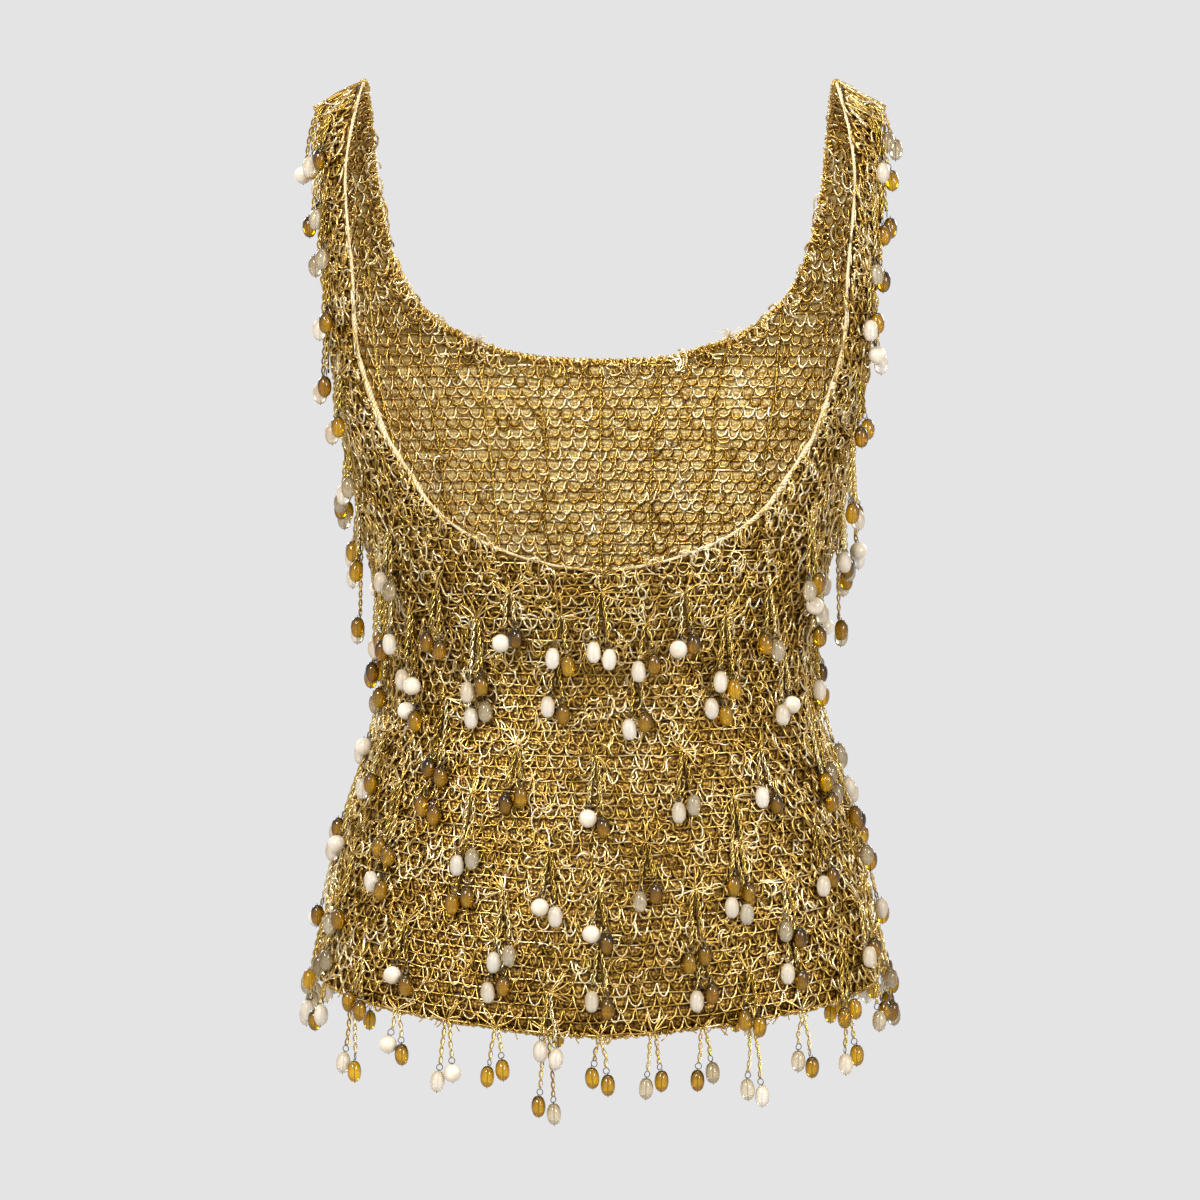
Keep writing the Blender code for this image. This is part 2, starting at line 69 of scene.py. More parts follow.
# Horizontal sections of the cloth. The squareness is the superellipse's exponent.
SECTIONS = np.array([
    # drop   half width  front depth  back depth  squareness
    (0.000, 0.1600, 0.000, 0.000, 2.8),
    (0.004, 0.1600, 0.026, 0.026, 2.8),
    (0.012, 0.1600, 0.048, 0.048, 2.8),
    (0.025, 0.1600, 0.068, 0.067, 2.8),
    (0.045, 0.1600, 0.085, 0.083, 2.8),
    (0.070, 0.1595, 0.097, 0.094, 2.8),
    (0.100, 0.1585, 0.106, 0.102, 2.8),
    (0.150, 0.1540, 0.111, 0.105, 2.8),
    (0.180, 0.1495, 0.110, 0.103, 2.7),
    (0.208, 0.1425, 0.109, 0.100, 2.6),
    (0.245, 0.1350, 0.107, 0.096, 2.5),
    (0.279, 0.1275, 0.104, 0.092, 2.4),
    (0.305, 0.1222, 0.099, 0.089, 2.35),
    (0.335, 0.1205, 0.095, 0.088, 2.3),
    (0.373, 0.1285, 0.098, 0.095, 2.3),
    (0.408, 0.1400, 0.104, 0.104, 2.3),
    (0.442, 0.1500, 0.109, 0.111, 2.35),
    (0.476, 0.1575, 0.113, 0.115, 2.4),
    (0.505, 0.1625, 0.115, 0.117, 2.4),
    (0.530, 0.1640, 0.116, 0.118, 2.4),
])
DROP, HALF_WIDTH, FRONT_DEPTH, BACK_DEPTH, SQUARENESS = range(5)


class Side(Enum):
    """The two panels of the top. The value is the direction along Y that each faces."""

    FRONT = -1.0
    BACK = 1.0

    @property
    def word(self) -> str:
        """The side's name in the names of pieces."""
        return self.name.lower()


class Face(Enum):
    """The two faces of a panel. The value is the direction in which each is lifted."""

    OUTER = 1.0
    INNER = -1.0


class Edge(Enum):
    """The edges of a panel's right half that have a curve of their own.

    The value is the column of the sections' and the key rows' tables that goes with the edge.
    """

    NECK = 0
    ARMHOLE = 1


class Bead(Enum):
    """The beads that hang on the drops. The value begins the names of each kind's pieces."""

    AMBER = "amber_glass"
    FROSTED = "frosted_glass"
    CLEAR = "clear_glass"
    PEARL = "pearl"


# Edges of each panel from the centre or underarm up to the shoulder: (across or forward, drop).
EDGE_TABLES = {
    (Side.FRONT, Edge.NECK): np.array([
        (0.0000, 0.2710), (0.0440, 0.2637), (0.0745, 0.2510), (0.0915, 0.2383), (0.1092, 0.2135),
        (0.1191, 0.1982), (0.1279, 0.1749), (0.1350, 0.1500), (0.1375, 0.1108), (0.1420, 0.0487),
        (0.1345, 0.0000),
    ]),
    (Side.BACK, Edge.NECK): np.array([
        (0.0000, 0.1610), (0.0487, 0.1570), (0.0770, 0.1480), (0.0930, 0.1395), (0.1080, 0.1265),
        (0.1205, 0.1060), (0.1275, 0.0830), (0.1325, 0.0480), (0.1345, 0.0000),
    ]),
}
ARMHOLE_TABLE = np.array([
    (0.0000, 0.2080), (0.0210, 0.2020), (0.0350, 0.1850), (0.0430, 0.1550), (0.0420, 0.1150),
    (0.0355, 0.0750), (0.0290, 0.0450), (0.0220, 0.0210), (0.0150, 0.0085), (0.0075, 0.0020),
    (0.0000, 0.0000),
])
EDGE_TABLES[Side.FRONT, Edge.ARMHOLE] = ARMHOLE_TABLE
EDGE_TABLES[Side.BACK, Edge.ARMHOLE] = ARMHOLE_TABLE


def linear(colour: str) -> tuple[float, float, float, float]:
    """Turns an sRGB hex colour to linear, with full alpha.

    Args:
        colour: Six hex digits after a hash.

    Returns:
        Linear red, green, blue and 1.
    """
    parts = np.array([int(colour[k:k + 2], 16) for k in (1, 3, 5)]) / 255
    values = np.where(parts <= 0.04045, parts / 12.92, ((parts + 0.055) / 1.055) ** 2.4)
    return (*(float(value) for value in values), 1.0)


def unit(vectors: np.ndarray) -> np.ndarray:
    """Vectors over their own lengths."""
    return vectors / np.maximum(np.linalg.norm(vectors, axis=-1, keepdims=True), 1e-12)


def smooth_lookup(place: np.ndarray, places: np.ndarray, values: np.ndarray) -> np.ndarray:
    """Cubic Hermite through a table's rows, with each row's slope taken from its neighbours.

    Args:
        place: Where to read.
        places: The rows' own places, rising.
        values: The rows' values.

    Returns:
        The value at each place.
    """
    slopes = np.gradient(values, places)
    k = np.clip(np.searchsorted(places, place) - 1, 0, len(places) - 2)
    span = places[k + 1] - places[k]
    t = (place - places[k]) / span
    start = (2 * t**3 - 3 * t**2 + 1) * values[k] + (t**3 - 2 * t**2 + t) * span * slopes[k]
    end = (3 * t**2 - 2 * t**3) * values[k + 1] + (t**3 - t**2) * span * slopes[k + 1]
    return start + end


def smooth_curve(table: np.ndarray, steps: int = 240) -> np.ndarray:
    """Smooth line through (out, drop) rows that leaves its first row square to the drop.

    Args:
        table: The rows.
        steps: Number of points on the line.

    Returns:
        The line's (out, drop) points.
    """
    mirrored = np.vstack([table[1] * (-1.0, 1.0), table])
    places = np.concatenate([[0.0], np.cumsum(np.hypot(*np.diff(mirrored, axis=0).T))])
    along = np.linspace(places[1], places[-1], steps)
    return np.stack([smooth_lookup(along, places, mirrored[:, k]) for k in (0, 1)], axis=1)


def arc_length(points: np.ndarray) -> np.ndarray:
    """Distance along a line of points, from its first."""
    steps = np.linalg.norm(np.diff(points, axis=0), axis=1)
    return np.concatenate([[0.0], np.cumsum(steps)])


def evenly(points: np.ndarray, *others: np.ndarray, step: float) -> list[np.ndarray]:
    """Reads a line, and the values that go with its points, at even distances along it.

    Args:
        points: The line's points.
        others: Arrays with a row for each point.
        step: Distance between the new points.

    Returns:
        The new points and the other arrays' values there.
    """
    length = arc_length(points)
    along = np.linspace(0.0, length[-1], max(2, int(round(length[-1] / step)) + 1))
    return [np.stack([np.interp(along, length, column) for column in rows.T], axis=1)
            for rows in (points, *others)]

def between_knots(knots: np.ndarray, points: int, spacing: int) -> np.ndarray:
    """Values at a number of points that run straight from knot to knot, so many points apart."""
    return np.interp(np.arange(points) / spacing, np.arange(len(knots)), knots)


@dataclass
class Form:
    """The outer surface of the cloth on a general figure.

    A point has x = half width * sin(a)^(2/n) and y = depth * cos(a)^(2/n) at its drop, where the share gives
    the angle a by arc length. Soft flutes, 1 + depth * cos(pi * waves * share), deepen towards the hem, and
    the shoulder falls outward beyond the inner edge of the strap.
    """

    gap: float = 0.0003
    hem_centre: float = 0.524
    hem_side: float = 0.495
    hem_bow: float = 1.5
    level_above: float = 0.360
    flute_start: float = 0.37
    flute_depth: float = 0.014
    flute_waves: int = 3
    flute_rise: float = 1.5
    shoulder_fall: float = 0.014
    strap_inner: float = 0.1345
    strap_outer: float = 0.160
    fall_fade: float = 0.030
    half_columns: int = 10
    root_steps: int = 321
    share_steps: int = 161
    angle_steps: int = 241
    least_stretch: float = 0.02
    straight_steps: int = 120
    rim_step: float = 0.02
    cut_columns: int = 401
    cut_rows: int = 500
    cut_top: float = 0.001
    key_rows: dict[Side, tuple] = field(default_factory=lambda: {
        Side.FRONT: ((0.524, 0.495, 0), (0.271, 0.271, 10), (0.249, 0.208, 3), (0.0, 0.0, 13)),
        Side.BACK: ((0.524, 0.495, 0), (0.208, 0.208, 12), (0.161, 0.161, 3), (0.0, 0.0, 11)),
    })

    def __post_init__(self) -> None:
        """Works out the tables of points, normals, stretches and edges for both sides."""
        self.roots = np.linspace(0.0, np.sqrt(SECTIONS[-1, DROP]), self.root_steps)
        self.shares = np.linspace(0.0, 1.0, self.share_steps)
        self.sections: dict[Side, tuple] = {}
        self.tables: dict[Side, np.ndarray] = {}
        self.edge_lines: dict[tuple, np.ndarray] = {}
        for side in Side:
            self.tables[side] = self.surface(side)
            for edge in Edge:
                self.edge_lines[side, edge] = self.edge_line(side, edge)

    def surface(self, side: Side) -> np.ndarray:
        """Table of point, normal and stretch, by root and share.

        Args:
            side: Front or back.

        Returns:
            An array of roots x shares x 8: the point, the outward normal, and the metres that one share
            and one root take.
        """
        depth_column = FRONT_DEPTH if side is Side.FRONT else BACK_DEPTH
        places = np.sqrt(SECTIONS[:, DROP])
        width, depth, square = (smooth_lookup(self.roots, places, SECTIONS[:, column])[:, None]
                                for column in (HALF_WIDTH, depth_column, SQUARENESS))
        angle = np.linspace(0.0, np.pi / 2, self.angle_steps)
        across = width * np.sin(angle) ** (2 / square)
        outward = depth * np.abs(np.cos(angle)) ** (2 / square)
        steps = np.hypot(np.diff(across, axis=1), np.diff(outward, axis=1))
        length = np.concatenate([np.zeros((len(steps), 1)), np.cumsum(steps, axis=1)], axis=1)
        share = length / length[:, -1:]
        x = np.stack([np.interp(self.shares, s, a) for s, a in zip(share, across)])
        y = np.stack([np.interp(self.shares, s, o) for s, o in zip(share, outward)])
        self.sections[side] = x, y
        drop = (self.roots**2)[:, None]
        ramp = np.clip((drop - self.flute_start) / (self.hem_centre - self.flute_start), 0.0, None)
        waves = np.cos(np.pi * self.flute_waves * self.shares)
        flute = 1.0 + self.flute_depth * ramp**self.flute_rise * waves
        x, y = x * flute, y * flute
        beyond = np.clip((x - self.strap_inner) / (self.strap_outer - self.strap_inner), 0.0, None)
        fall = self.shoulder_fall * beyond * np.exp(-drop / self.fall_fade)
        points = np.stack([x, side.value * (y + self.gap / 2), -drop - fall], axis=2)
        along = np.gradient(points, self.shares, axis=1)
        down = np.gradient(points, self.roots, axis=0)
        normals = unit(np.cross(along, down) * side.value)
        stretch = np.stack([np.linalg.norm(along, axis=2), np.linalg.norm(down, axis=2)], axis=2)
        return np.concatenate([points, normals, np.maximum(stretch, self.least_stretch)], axis=2)

    def read(self, side: Side, share: Values, root: Values) -> np.ndarray:
        """Reads the surface's table between its rows and columns.

        Args:
            side: Front or back.
            share: Signed shares.
            root: Roots, which go with the shares.

        Returns:
            The eight values of surface() at each place, mirrored where the share is negative.
        """
        table = self.tables[side]
        i = np.clip(root / self.roots[-1], 0.0, 1.0) * (self.root_steps - 1)
        j = np.clip(np.abs(share), 0.0, 1.0) * (self.share_steps - 1)
        i0 = np.minimum(i.astype(int), self.root_steps - 2)
        j0 = np.minimum(j.astype(int), self.share_steps - 2)
        u, v = (i - i0)[..., None], (j - j0)[..., None]
        upper = table[i0, j0] * (1 - v) + table[i0, j0 + 1] * v
        lower = table[i0 + 1, j0] * (1 - v) + table[i0 + 1, j0 + 1] * v
        values = upper * (1 - u) + lower * u
        hand = np.where(share < 0, -1.0, 1.0)
        values[..., 0] *= hand
        values[..., 3] *= hand
        return values

    def at(self, side: Side, share: Values, root: Values, lift: Values = 0.0) -> Line:
        """Points at a lift over the cloth, and the normals there.

        Args:
            side: Front or back.
            share: Signed shares.
            root: Roots, which go with the shares.
            lift: Distance out of the cloth.

        Returns:
            The points and the outward normals.
        """
        values = self.read(side, share, root)
        normals = unit(values[..., 3:6])
        return values[..., :3] + normals * np.asarray(lift)[..., None], normals

    def moved(self, side: Side, share: Values, root: Values, across: Values, down: Values) -> Places:
        """Moves places over the cloth by distances across, to the viewer's right, and down.

        Args:
            side: Front or back.
            share: Signed shares.
            root: Roots.
            across: Distances across, in metres.
            down: Distances down, in metres.

        Returns:
            The new shares and roots.
        """
        stretch = self.read(side, share, root)[..., 6:8]
        return share + across / stretch[..., 0], root + down / stretch[..., 1]

    def edge_line(self, side: Side, edge: Edge) -> np.ndarray:
        """The line of a panel's neck or armhole, up to the shoulder.

        The section at each drop gives the share of the point whose distance across, or forward, the edge's
        own curve states.

        Args:
            side: Front or back.
            edge: Neck or armhole.

        Returns:
            The line's (share, root) points.
        """
        curve = np.maximum(smooth_curve(EDGE_TABLES[side, edge]), 0.0)
        roots = np.sqrt(curve[:, 1])
        rows = roots / self.roots[-1] * (self.root_steps - 1)
        lower = np.minimum(rows.astype(int), self.root_steps - 2)
        mix = (rows - lower)[:, None]
        table = self.sections[side][edge.value]
        sections = table[lower] * (1 - mix) + table[lower + 1] * mix
        if edge is Edge.NECK:
            shares = [np.interp(out, row, self.shares) for out, row in zip(curve[:, 0], sections)]
        else:
            shares = [np.interp(out, row[::-1], self.shares[::-1]) if row[0] > 0.0 else 1.0
                      for out, row in zip(curve[:, 0], sections)]
        return np.stack([np.array(shares), roots], axis=1)

    def limits(self, side: Side, root: Values) -> Places:
        """The shares between which the right half of the cloth lies.

        Args:
            side: Front or back.
            root: Where, down the cloth.

        Returns:
            The inner and the outer share.
        """
        neck, armhole = self.edge_lines[side, Edge.NECK], self.edge_lines[side, Edge.ARMHOLE]
        inner = np.interp(root, neck[::-1, 1], neck[::-1, 0], right=0.0)
        outer = np.interp(root, armhole[::-1, 1], armhole[::-1, 0], right=1.0)
        return inner, outer

    def hem_drop(self, share: Values) -> Values:
        """Drop of the hem, lowest at the centre and higher at the sides."""
        bow = np.abs(share) ** self.hem_bow
        return (np.sqrt(self.hem_centre) * (1 - bow) + np.sqrt(self.hem_side) * bow) ** 2

    def cut(self, side: Side) -> tuple[float, float, float]:
        """The knitted size of a panel, measured along the cloth of its form.

        The area is the sum of |dP/dshare x dP/droot| over the cells of a fine grid that lie on the cloth.

        Args:
            side: Front or back.

        Returns:
            Width along the hem, length down the middle from the shoulders' level, and area.
        """
        share = np.linspace(-1.0, 1.0, self.cut_columns)
        root = np.linspace(self.cut_top, np.sqrt(self.hem_centre), self.cut_rows)
        hem = self.at(side, share, np.sqrt(self.hem_drop(share)))[0]
        grid = self.at(side, *np.meshgrid(share, root))[0]
        corner = grid[:-1, :-1]
        cells = np.linalg.norm(np.cross(grid[1:, :-1] - corner, grid[:-1, 1:] - corner), axis=2)
        away, down = np.meshgrid(np.abs(share[1:] + share[:-1]) / 2, (root[1:] + root[:-1]) / 2)
        inner, outer = self.limits(side, down)
        on_cloth = (away > np.where(inner > 0, inner, -1.0)) & (away < outer)
        on_cloth &= down**2 < self.hem_drop(away)
        width, length = (float(arc_length(line)[-1]) for line in (hem, grid[:, self.cut_columns // 2]))
        return width, length, float(cells[on_cloth].sum())

    def hem_curve(self, share: Values) -> Values:
        """Factor on a drop below the level courses that takes it to the hem's curve."""
        return (self.hem_drop(share) - self.level_above) / (self.hem_centre - self.level_above)

    def course(self, root: Values, share: Values) -> np.ndarray:
        """Root along a course that is level higher up and takes the hem's curve further down.

        Args:
            root: The course's own level, as the root that it has at the centre.
            share: Signed shares.

        Returns:
            The root at each share.
        """
        drop = np.asarray(root) ** 2
        lower = self.level_above + (drop - self.level_above) * self.hem_curve(share)
        return np.sqrt(np.where(drop > self.level_above, lower, drop))

    def level(self, root: Values, share: Values) -> np.ndarray:
        """The level whose course passes a place: course() undone.

        Args:
            root: Root of the place.
            share: Its signed share.

        Returns:
            The course's root at the centre.
        """
        drop = np.asarray(root) ** 2
        lower = self.level_above + (drop - self.level_above) / self.hem_curve(share)
        return np.sqrt(np.where(drop > self.level_above, lower, drop))

    def grid_edge(self, side: Side, edge: Edge, row: np.ndarray) -> Places:
        """Where rows of the solids' grid meet the panel's inner or outer edge.

        The rows lie evenly by length along the edge, between the key rows.

        Args:
            side: Front or back.
            edge: Neck, which goes on down the centre, or armhole, which goes on down the side.
            row: Rows of the grid.

        Returns:
            Shares and roots.
        """
        line, column = self.edge_lines[side, edge], edge.value
        hem = self.key_rows[side][0][column]
        straight = np.sqrt(np.linspace(hem, line[0, 1] ** 2, self.straight_steps, endpoint=False))
        line = np.vstack([np.stack([np.full(len(straight), float(column)), straight], axis=1), line])
        length = arc_length(self.at(side, line[:, 0], line[:, 1])[0])
        drops, counts = np.array(self.key_rows[side])[:, [column, 2]].T
        marks = np.interp(-drops, -line[:, 1] ** 2, length)
        along = np.interp(row, np.cumsum(counts), marks)
        return np.interp(along, length, line[:, 0]), np.interp(along, length, line[:, 1])

    def place(self, side: Side, row: np.ndarray, column: np.ndarray) -> Places:
        """Places on the solids' grid.

        Args:
            side: Front or back.
            row: Rows, from 0 at the hem.
            column: Signed columns, from 0 at the centre.

        Returns:
            Shares and roots.
        """
        weight = np.abs(column) / self.half_columns
        inner, outer = (self.grid_edge(side, edge, row) for edge in (Edge.NECK, Edge.ARMHOLE))
        bow = weight**self.hem_bow
        share = inner[0] + (outer[0] - inner[0]) * weight
        return np.where(column < 0, -share, share), inner[1] * (1 - bow) + outer[1] * bow

    def rim(self, side: Side, edge: Edge, out: float, lift: float, step: float) -> Line:
        """A line beside the right half of an edge, out in the hole, from its lowest point to the shoulder.

        Args:
            side: Front or back.
            edge: Neck or armhole.
            out: Distance from the rim into the hole.
            lift: Distance out of the cloth.
            step: Distance between the line's points.

        Returns:
            The points and the outward normals.
        """
        line = self.edge_lines[side, edge]
        points, normals = evenly(*self.at(side, line[:, 0], line[:, 1], lift), step=step)
        inward = self.rim_step if edge is Edge.NECK else -self.rim_step
        cloth = self.at(side, line[:, 0] + inward, line[:, 1], lift)[0]
        across = unit(np.cross(np.gradient(points, axis=0), normals))
        middle = len(points) // 2
        nearest = cloth[np.argmin(np.linalg.norm(cloth - points[middle], axis=1))]
        towards_hole = np.sign(across[middle] @ (points[middle] - nearest))
        return points + across * towards_hole * out, unit(normals)


def sweep(paths: np.ndarray, normals: np.ndarray, radius: Values) -> Shape:
    """Carries a three-cornered ring along many paths at once, which is round enough for a thin yarn.

    A ring's corner k is path + radius * (cos(2 pi k / 3) * upright + sin(2 pi k / 3) * sideways), where
    sideways is square to the path and the normal, and upright to both.

    Args:
        paths: Paths x points x 3.
        normals: Rough upward directions, for each point, for each path or for all.
        radius: Radius of the yarn, a number or an array of paths x points.

    Returns:
        The vertices and the face arrays: the walls, and the caps at both ends.
    """
    count, points = paths.shape[:2]
    tangents = unit(np.gradient(paths, axis=1))
    sideways = unit(np.cross(tangents, normals))
    upright = np.cross(sideways, tangents)
    turn = 2 * np.pi * np.arange(YARN_CORNERS) / YARN_CORNERS
    reach = np.broadcast_to(np.asarray(radius, dtype=float), (count, points))[..., None, None]
    ring = np.cos(turn)[:, None] * upright[:, :, None] + np.sin(turn)[:, None] * sideways[:, :, None]
    vertices = paths[:, :, None] + reach * ring
    index = np.arange(len(vertices.reshape(-1, 3))).reshape(count, points, YARN_CORNERS)
    near, far = index[:, :-1], index[:, 1:]
    walls = np.stack([near, np.roll(near, -1, axis=2), np.roll(far, -1, axis=2), far], axis=-1)
    caps = np.concatenate([index[:, 0, ::-1], index[:, -1]])
    return vertices.reshape(-1, 3), [walls.reshape(-1, 4), caps]


def scatter(points: np.ndarray, faces: list, axes: np.ndarray, centres: np.ndarray) -> Shape:
    """Sets copies of a small shape at many places.

    Args:
        points: The shape's own vertices.
        faces: Its face arrays.
        axes: Copies x 3 x 3, whose rows are the shape's own X, Y and Z there.
        centres: Copies x 3.

    Returns:
        The vertices of all copies and the face arrays.
    """
    vertices = np.einsum("vk,nkj->nvj", points, axes) + centres[:, None]
    offsets = np.arange(len(centres))[:, None, None] * len(points)
    return vertices.reshape(-1, 3), [(face[None] + offsets).reshape(-1, face.shape[1]) for face in faces]


def turned(radii: np.ndarray, heights: np.ndarray, around: int) -> Shape:
    """A shape turned about Z, closed by a fan at each pole.

    Args:
        radii: Radius of each ring, from the bottom up.
        heights: Height of the bottom pole, of each ring and of the top pole.
        around: Corners in a ring.

    Returns:
        The vertices and the face arrays, facing outwards.
    """
    turn = 2 * np.pi * np.arange(around) / around
    rings = np.stack([radii[:, None] * np.cos(turn), radii[:, None] * np.sin(turn),
                      np.broadcast_to(heights[1:-1, None], (len(radii), around))], axis=2)
    points = np.vstack([rings.reshape(-1, 3), (0.0, 0.0, heights[0]), (0.0, 0.0, heights[-1])])
    index = np.arange(len(radii) * around).reshape(len(radii), around)
    low, high = index[:-1], index[1:]
    walls = np.stack([low, np.roll(low, -1, axis=1), np.roll(high, -1, axis=1), high], axis=-1)
    bottom, top = len(points) - 2, len(points) - 1
    first, last = index[0], index[-1]
    fans = [np.stack([np.roll(first, -1), first, np.full(around, bottom)], axis=1),
            np.stack([last, np.roll(last, -1), np.full(around, top)], axis=1)]
    return points, [walls.reshape(-1, 4), np.vstack(fans)]


@dataclass
class Bundle:
    """Vertices, faces and tones of one piece in the making."""

    points: list = field(default_factory=list)
    faces: list = field(default_factory=list)
    tones: list = field(default_factory=list)
    count: int = 0

    def add(self, shape: Shape, tone: Values = 0.5) -> None:
        """Adds a shape.

        Args:
            shape: Its vertices and face arrays.
            tone: Tones from 0 to 1, one for all its vertices or for each equal run of them, as in copies.
        """
        points, faces = shape
        tone = np.atleast_1d(tone)
        self.points.append(points)
        self.faces += [face + self.count for face in faces if len(face)]
        self.tones.append(np.repeat(tone, len(points) // max(len(tone), 1)))
        self.count += len(points)

    def make(self, name: str, material: Material) -> Piece:
        """Makes the piece's mesh and object, at the origin.

        Args:
            name: Name of the object.
            material: Its material.

        Returns:
            The object, linked to the scene.
        """
        mesh = bpy.data.meshes.new(name)
        corners = np.concatenate([face.ravel() for face in self.faces])
        totals = np.concatenate([np.full(len(face), face.shape[1]) for face in self.faces])
        mesh.vertices.add(self.count)
        mesh.vertices.foreach_set("co", np.concatenate(self.points).astype(np.float32).ravel())
        mesh.loops.add(len(corners))
        mesh.loops.foreach_set("vertex_index", corners.astype(np.int32))
        mesh.polygons.add(len(totals))
        mesh.polygons.foreach_set("loop_start", (np.cumsum(totals) - totals).astype(np.int32))
        mesh.polygons.foreach_set("use_smooth", np.ones(len(totals), dtype=bool))
        mesh.update(calc_edges=True)
        tone = mesh.attributes.new("tone", "FLOAT", "POINT")
        tone.data.foreach_set("value", np.concatenate(self.tones).astype(np.float32))
        mesh.materials.append(material)
        piece = bpy.data.objects.new(name, mesh)
        bpy.context.scene.collection.objects.link(piece)
        LOG.info("%s: %d triangles", name, np.sum(totals - 2))
        return piece


def settle(piece: Piece, nodes: list[str]) -> Piece:
    """Rides a piece on the top and hides the solids that it stands for.

    Args:
        piece: The piece.
        nodes: Names of the solids, if there are any.

    Returns:
        The same piece.
    """
    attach(piece, "root")
    if nodes:
        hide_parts(*nodes)
    return piece


def add_node(material: Material, kind: str, inputs: dict | None = None, stops: tuple = (),
             **settings: object) -> bpy.types.Node:
    """Adds a node to a material.

    Args:
        material: The material.
        kind: The node's type.
        inputs: Values, or (node, output) links, by the input's name or number.
        stops: (place, hex colour) stops, for a node that has a ramp.
        settings: Values of the node's own properties.

    Returns:
        The node.
    """
    tree = material.node_tree
    node = tree.nodes.new(kind)
    for name, value in settings.items():
        setattr(node, name, value)
    for name, value in (inputs or {}).items():
        if isinstance(value, tuple) and isinstance(value[0], bpy.types.Node):
            tree.links.new(value[0].outputs[value[1]], node.inputs[name])
        else:
            node.inputs[name].default_value = value
    for k, (place, colour) in enumerate(stops):
        element = node.color_ramp.elements[k] if k < 2 else node.color_ramp.elements.new(place)
        element.position = place
        element.color = linear(colour)
    return node


def new_material(name: str, **sockets: object) -> tuple[Material, bpy.types.Node]:
    """A material with its shader's own sockets set.

    Args:
        name: The finish's name.
        sockets: Values by socket name, with _ for a space.

    Returns:
        The material and its Principled shader.
    """
    material = bpy.data.materials.new(name)
    material.use_nodes = True
    shader = material.node_tree.nodes["Principled BSDF"]
    for socket, value in sockets.items():
        shader.inputs[socket.replace("_", " ")].default_value = value
    return material, shader


def colour_by(material: Material, shader: bpy.types.Node, start: float | tuple, patterns: tuple, stops: tuple,
              bump: bpy.types.Node | None = None) -> None:
    """Colours a shader from a ramp that is read at start + the sum of share * pattern, and bumps it.

    Args:
        material: The material.
        shader: Its shader.
        start: A number, or a pattern's (node, output).
        patterns: (node, output, share) of each further pattern.
        stops: (place, hex colour) stops of the ramp: the first, the last and the ones between.
        bump: The bump's node, if there is one.
    """
    shade = start
    for node, output, share in patterns:
        shade = (add_node(material, "ShaderNodeMath", {0: (node, output), 1: share, 2: shade},
                          operation="MULTIPLY_ADD"), "Value")
    ramp = add_node(material, "ShaderNodeValToRGB", {"Fac": shade}, stops=stops)
    material.node_tree.links.new(ramp.outputs["Color"], shader.inputs["Base Color"])
    if bump:
        material.node_tree.links.new(bump.outputs["Normal"], shader.inputs["Normal"])


@dataclass(frozen=True)
class TwistedYarn:
    """Lurex: a metallised film strip twisted round a gold thread.

    It shines like worn gold: a pale line where it faces a light, gold on its sides, and brown where two
    strands meet. Each stitch has a tone of its own. The facets of the strip, some 0.3 mm on a real yarn,
    are drawn as a coarser speckle, so that they show: a bump, and painted glints in the colour.
    """

    name: str
    dark: str
    mid: str
    pale: str
    metallic: float = 0.92
    roughness: float = 0.30
    facet: float = 1.1 * MM
    patch: float = 22 * MM
    tone_share: float = 0.9
    glint_share: float = 0.8
    patch_share: float = 0.7
    relief: float = 0.3 * MM

    def make(self) -> Material:
        """Builds the material: tone, painted facet glints and patches added up, with the facets as bump too.

        Returns:
            The material.
        """
        material, shader = new_material(self.name, Metallic=self.metallic, Roughness=self.roughness)
        place = add_node(material, "ShaderNodeTexCoord")
        tone = add_node(material, "ShaderNodeAttribute", attribute_name="tone")
        facets = add_node(material, "ShaderNodeTexNoise", {"Vector": (place, "Object"),
                          "Scale": 1 / self.facet, "Detail": 2.0, "Roughness": 0.7})
        patches = add_node(material, "ShaderNodeTexNoise", {"Vector": (place, "Object"),
                           "Scale": 1 / self.patch, "Detail": 3.0})
        bump = add_node(material, "ShaderNodeBump", {"Height": (facets, "Fac"), "Strength": 0.5,
                        "Distance": self.relief})
        # painted glints: the facet speckle lightens and darkens the colour as well as bumping the skin
        patterns = ((facets, "Fac", self.glint_share), (patches, "Fac", self.patch_share),
                    (tone, "Fac", self.tone_share))
        start = 0.5 * (1 - self.tone_share - self.glint_share - self.patch_share)
        stops = (0.0, self.dark), (1.0, self.pale), (0.5, self.mid)
        colour_by(material, shader, start, patterns, stops, bump)
        return material


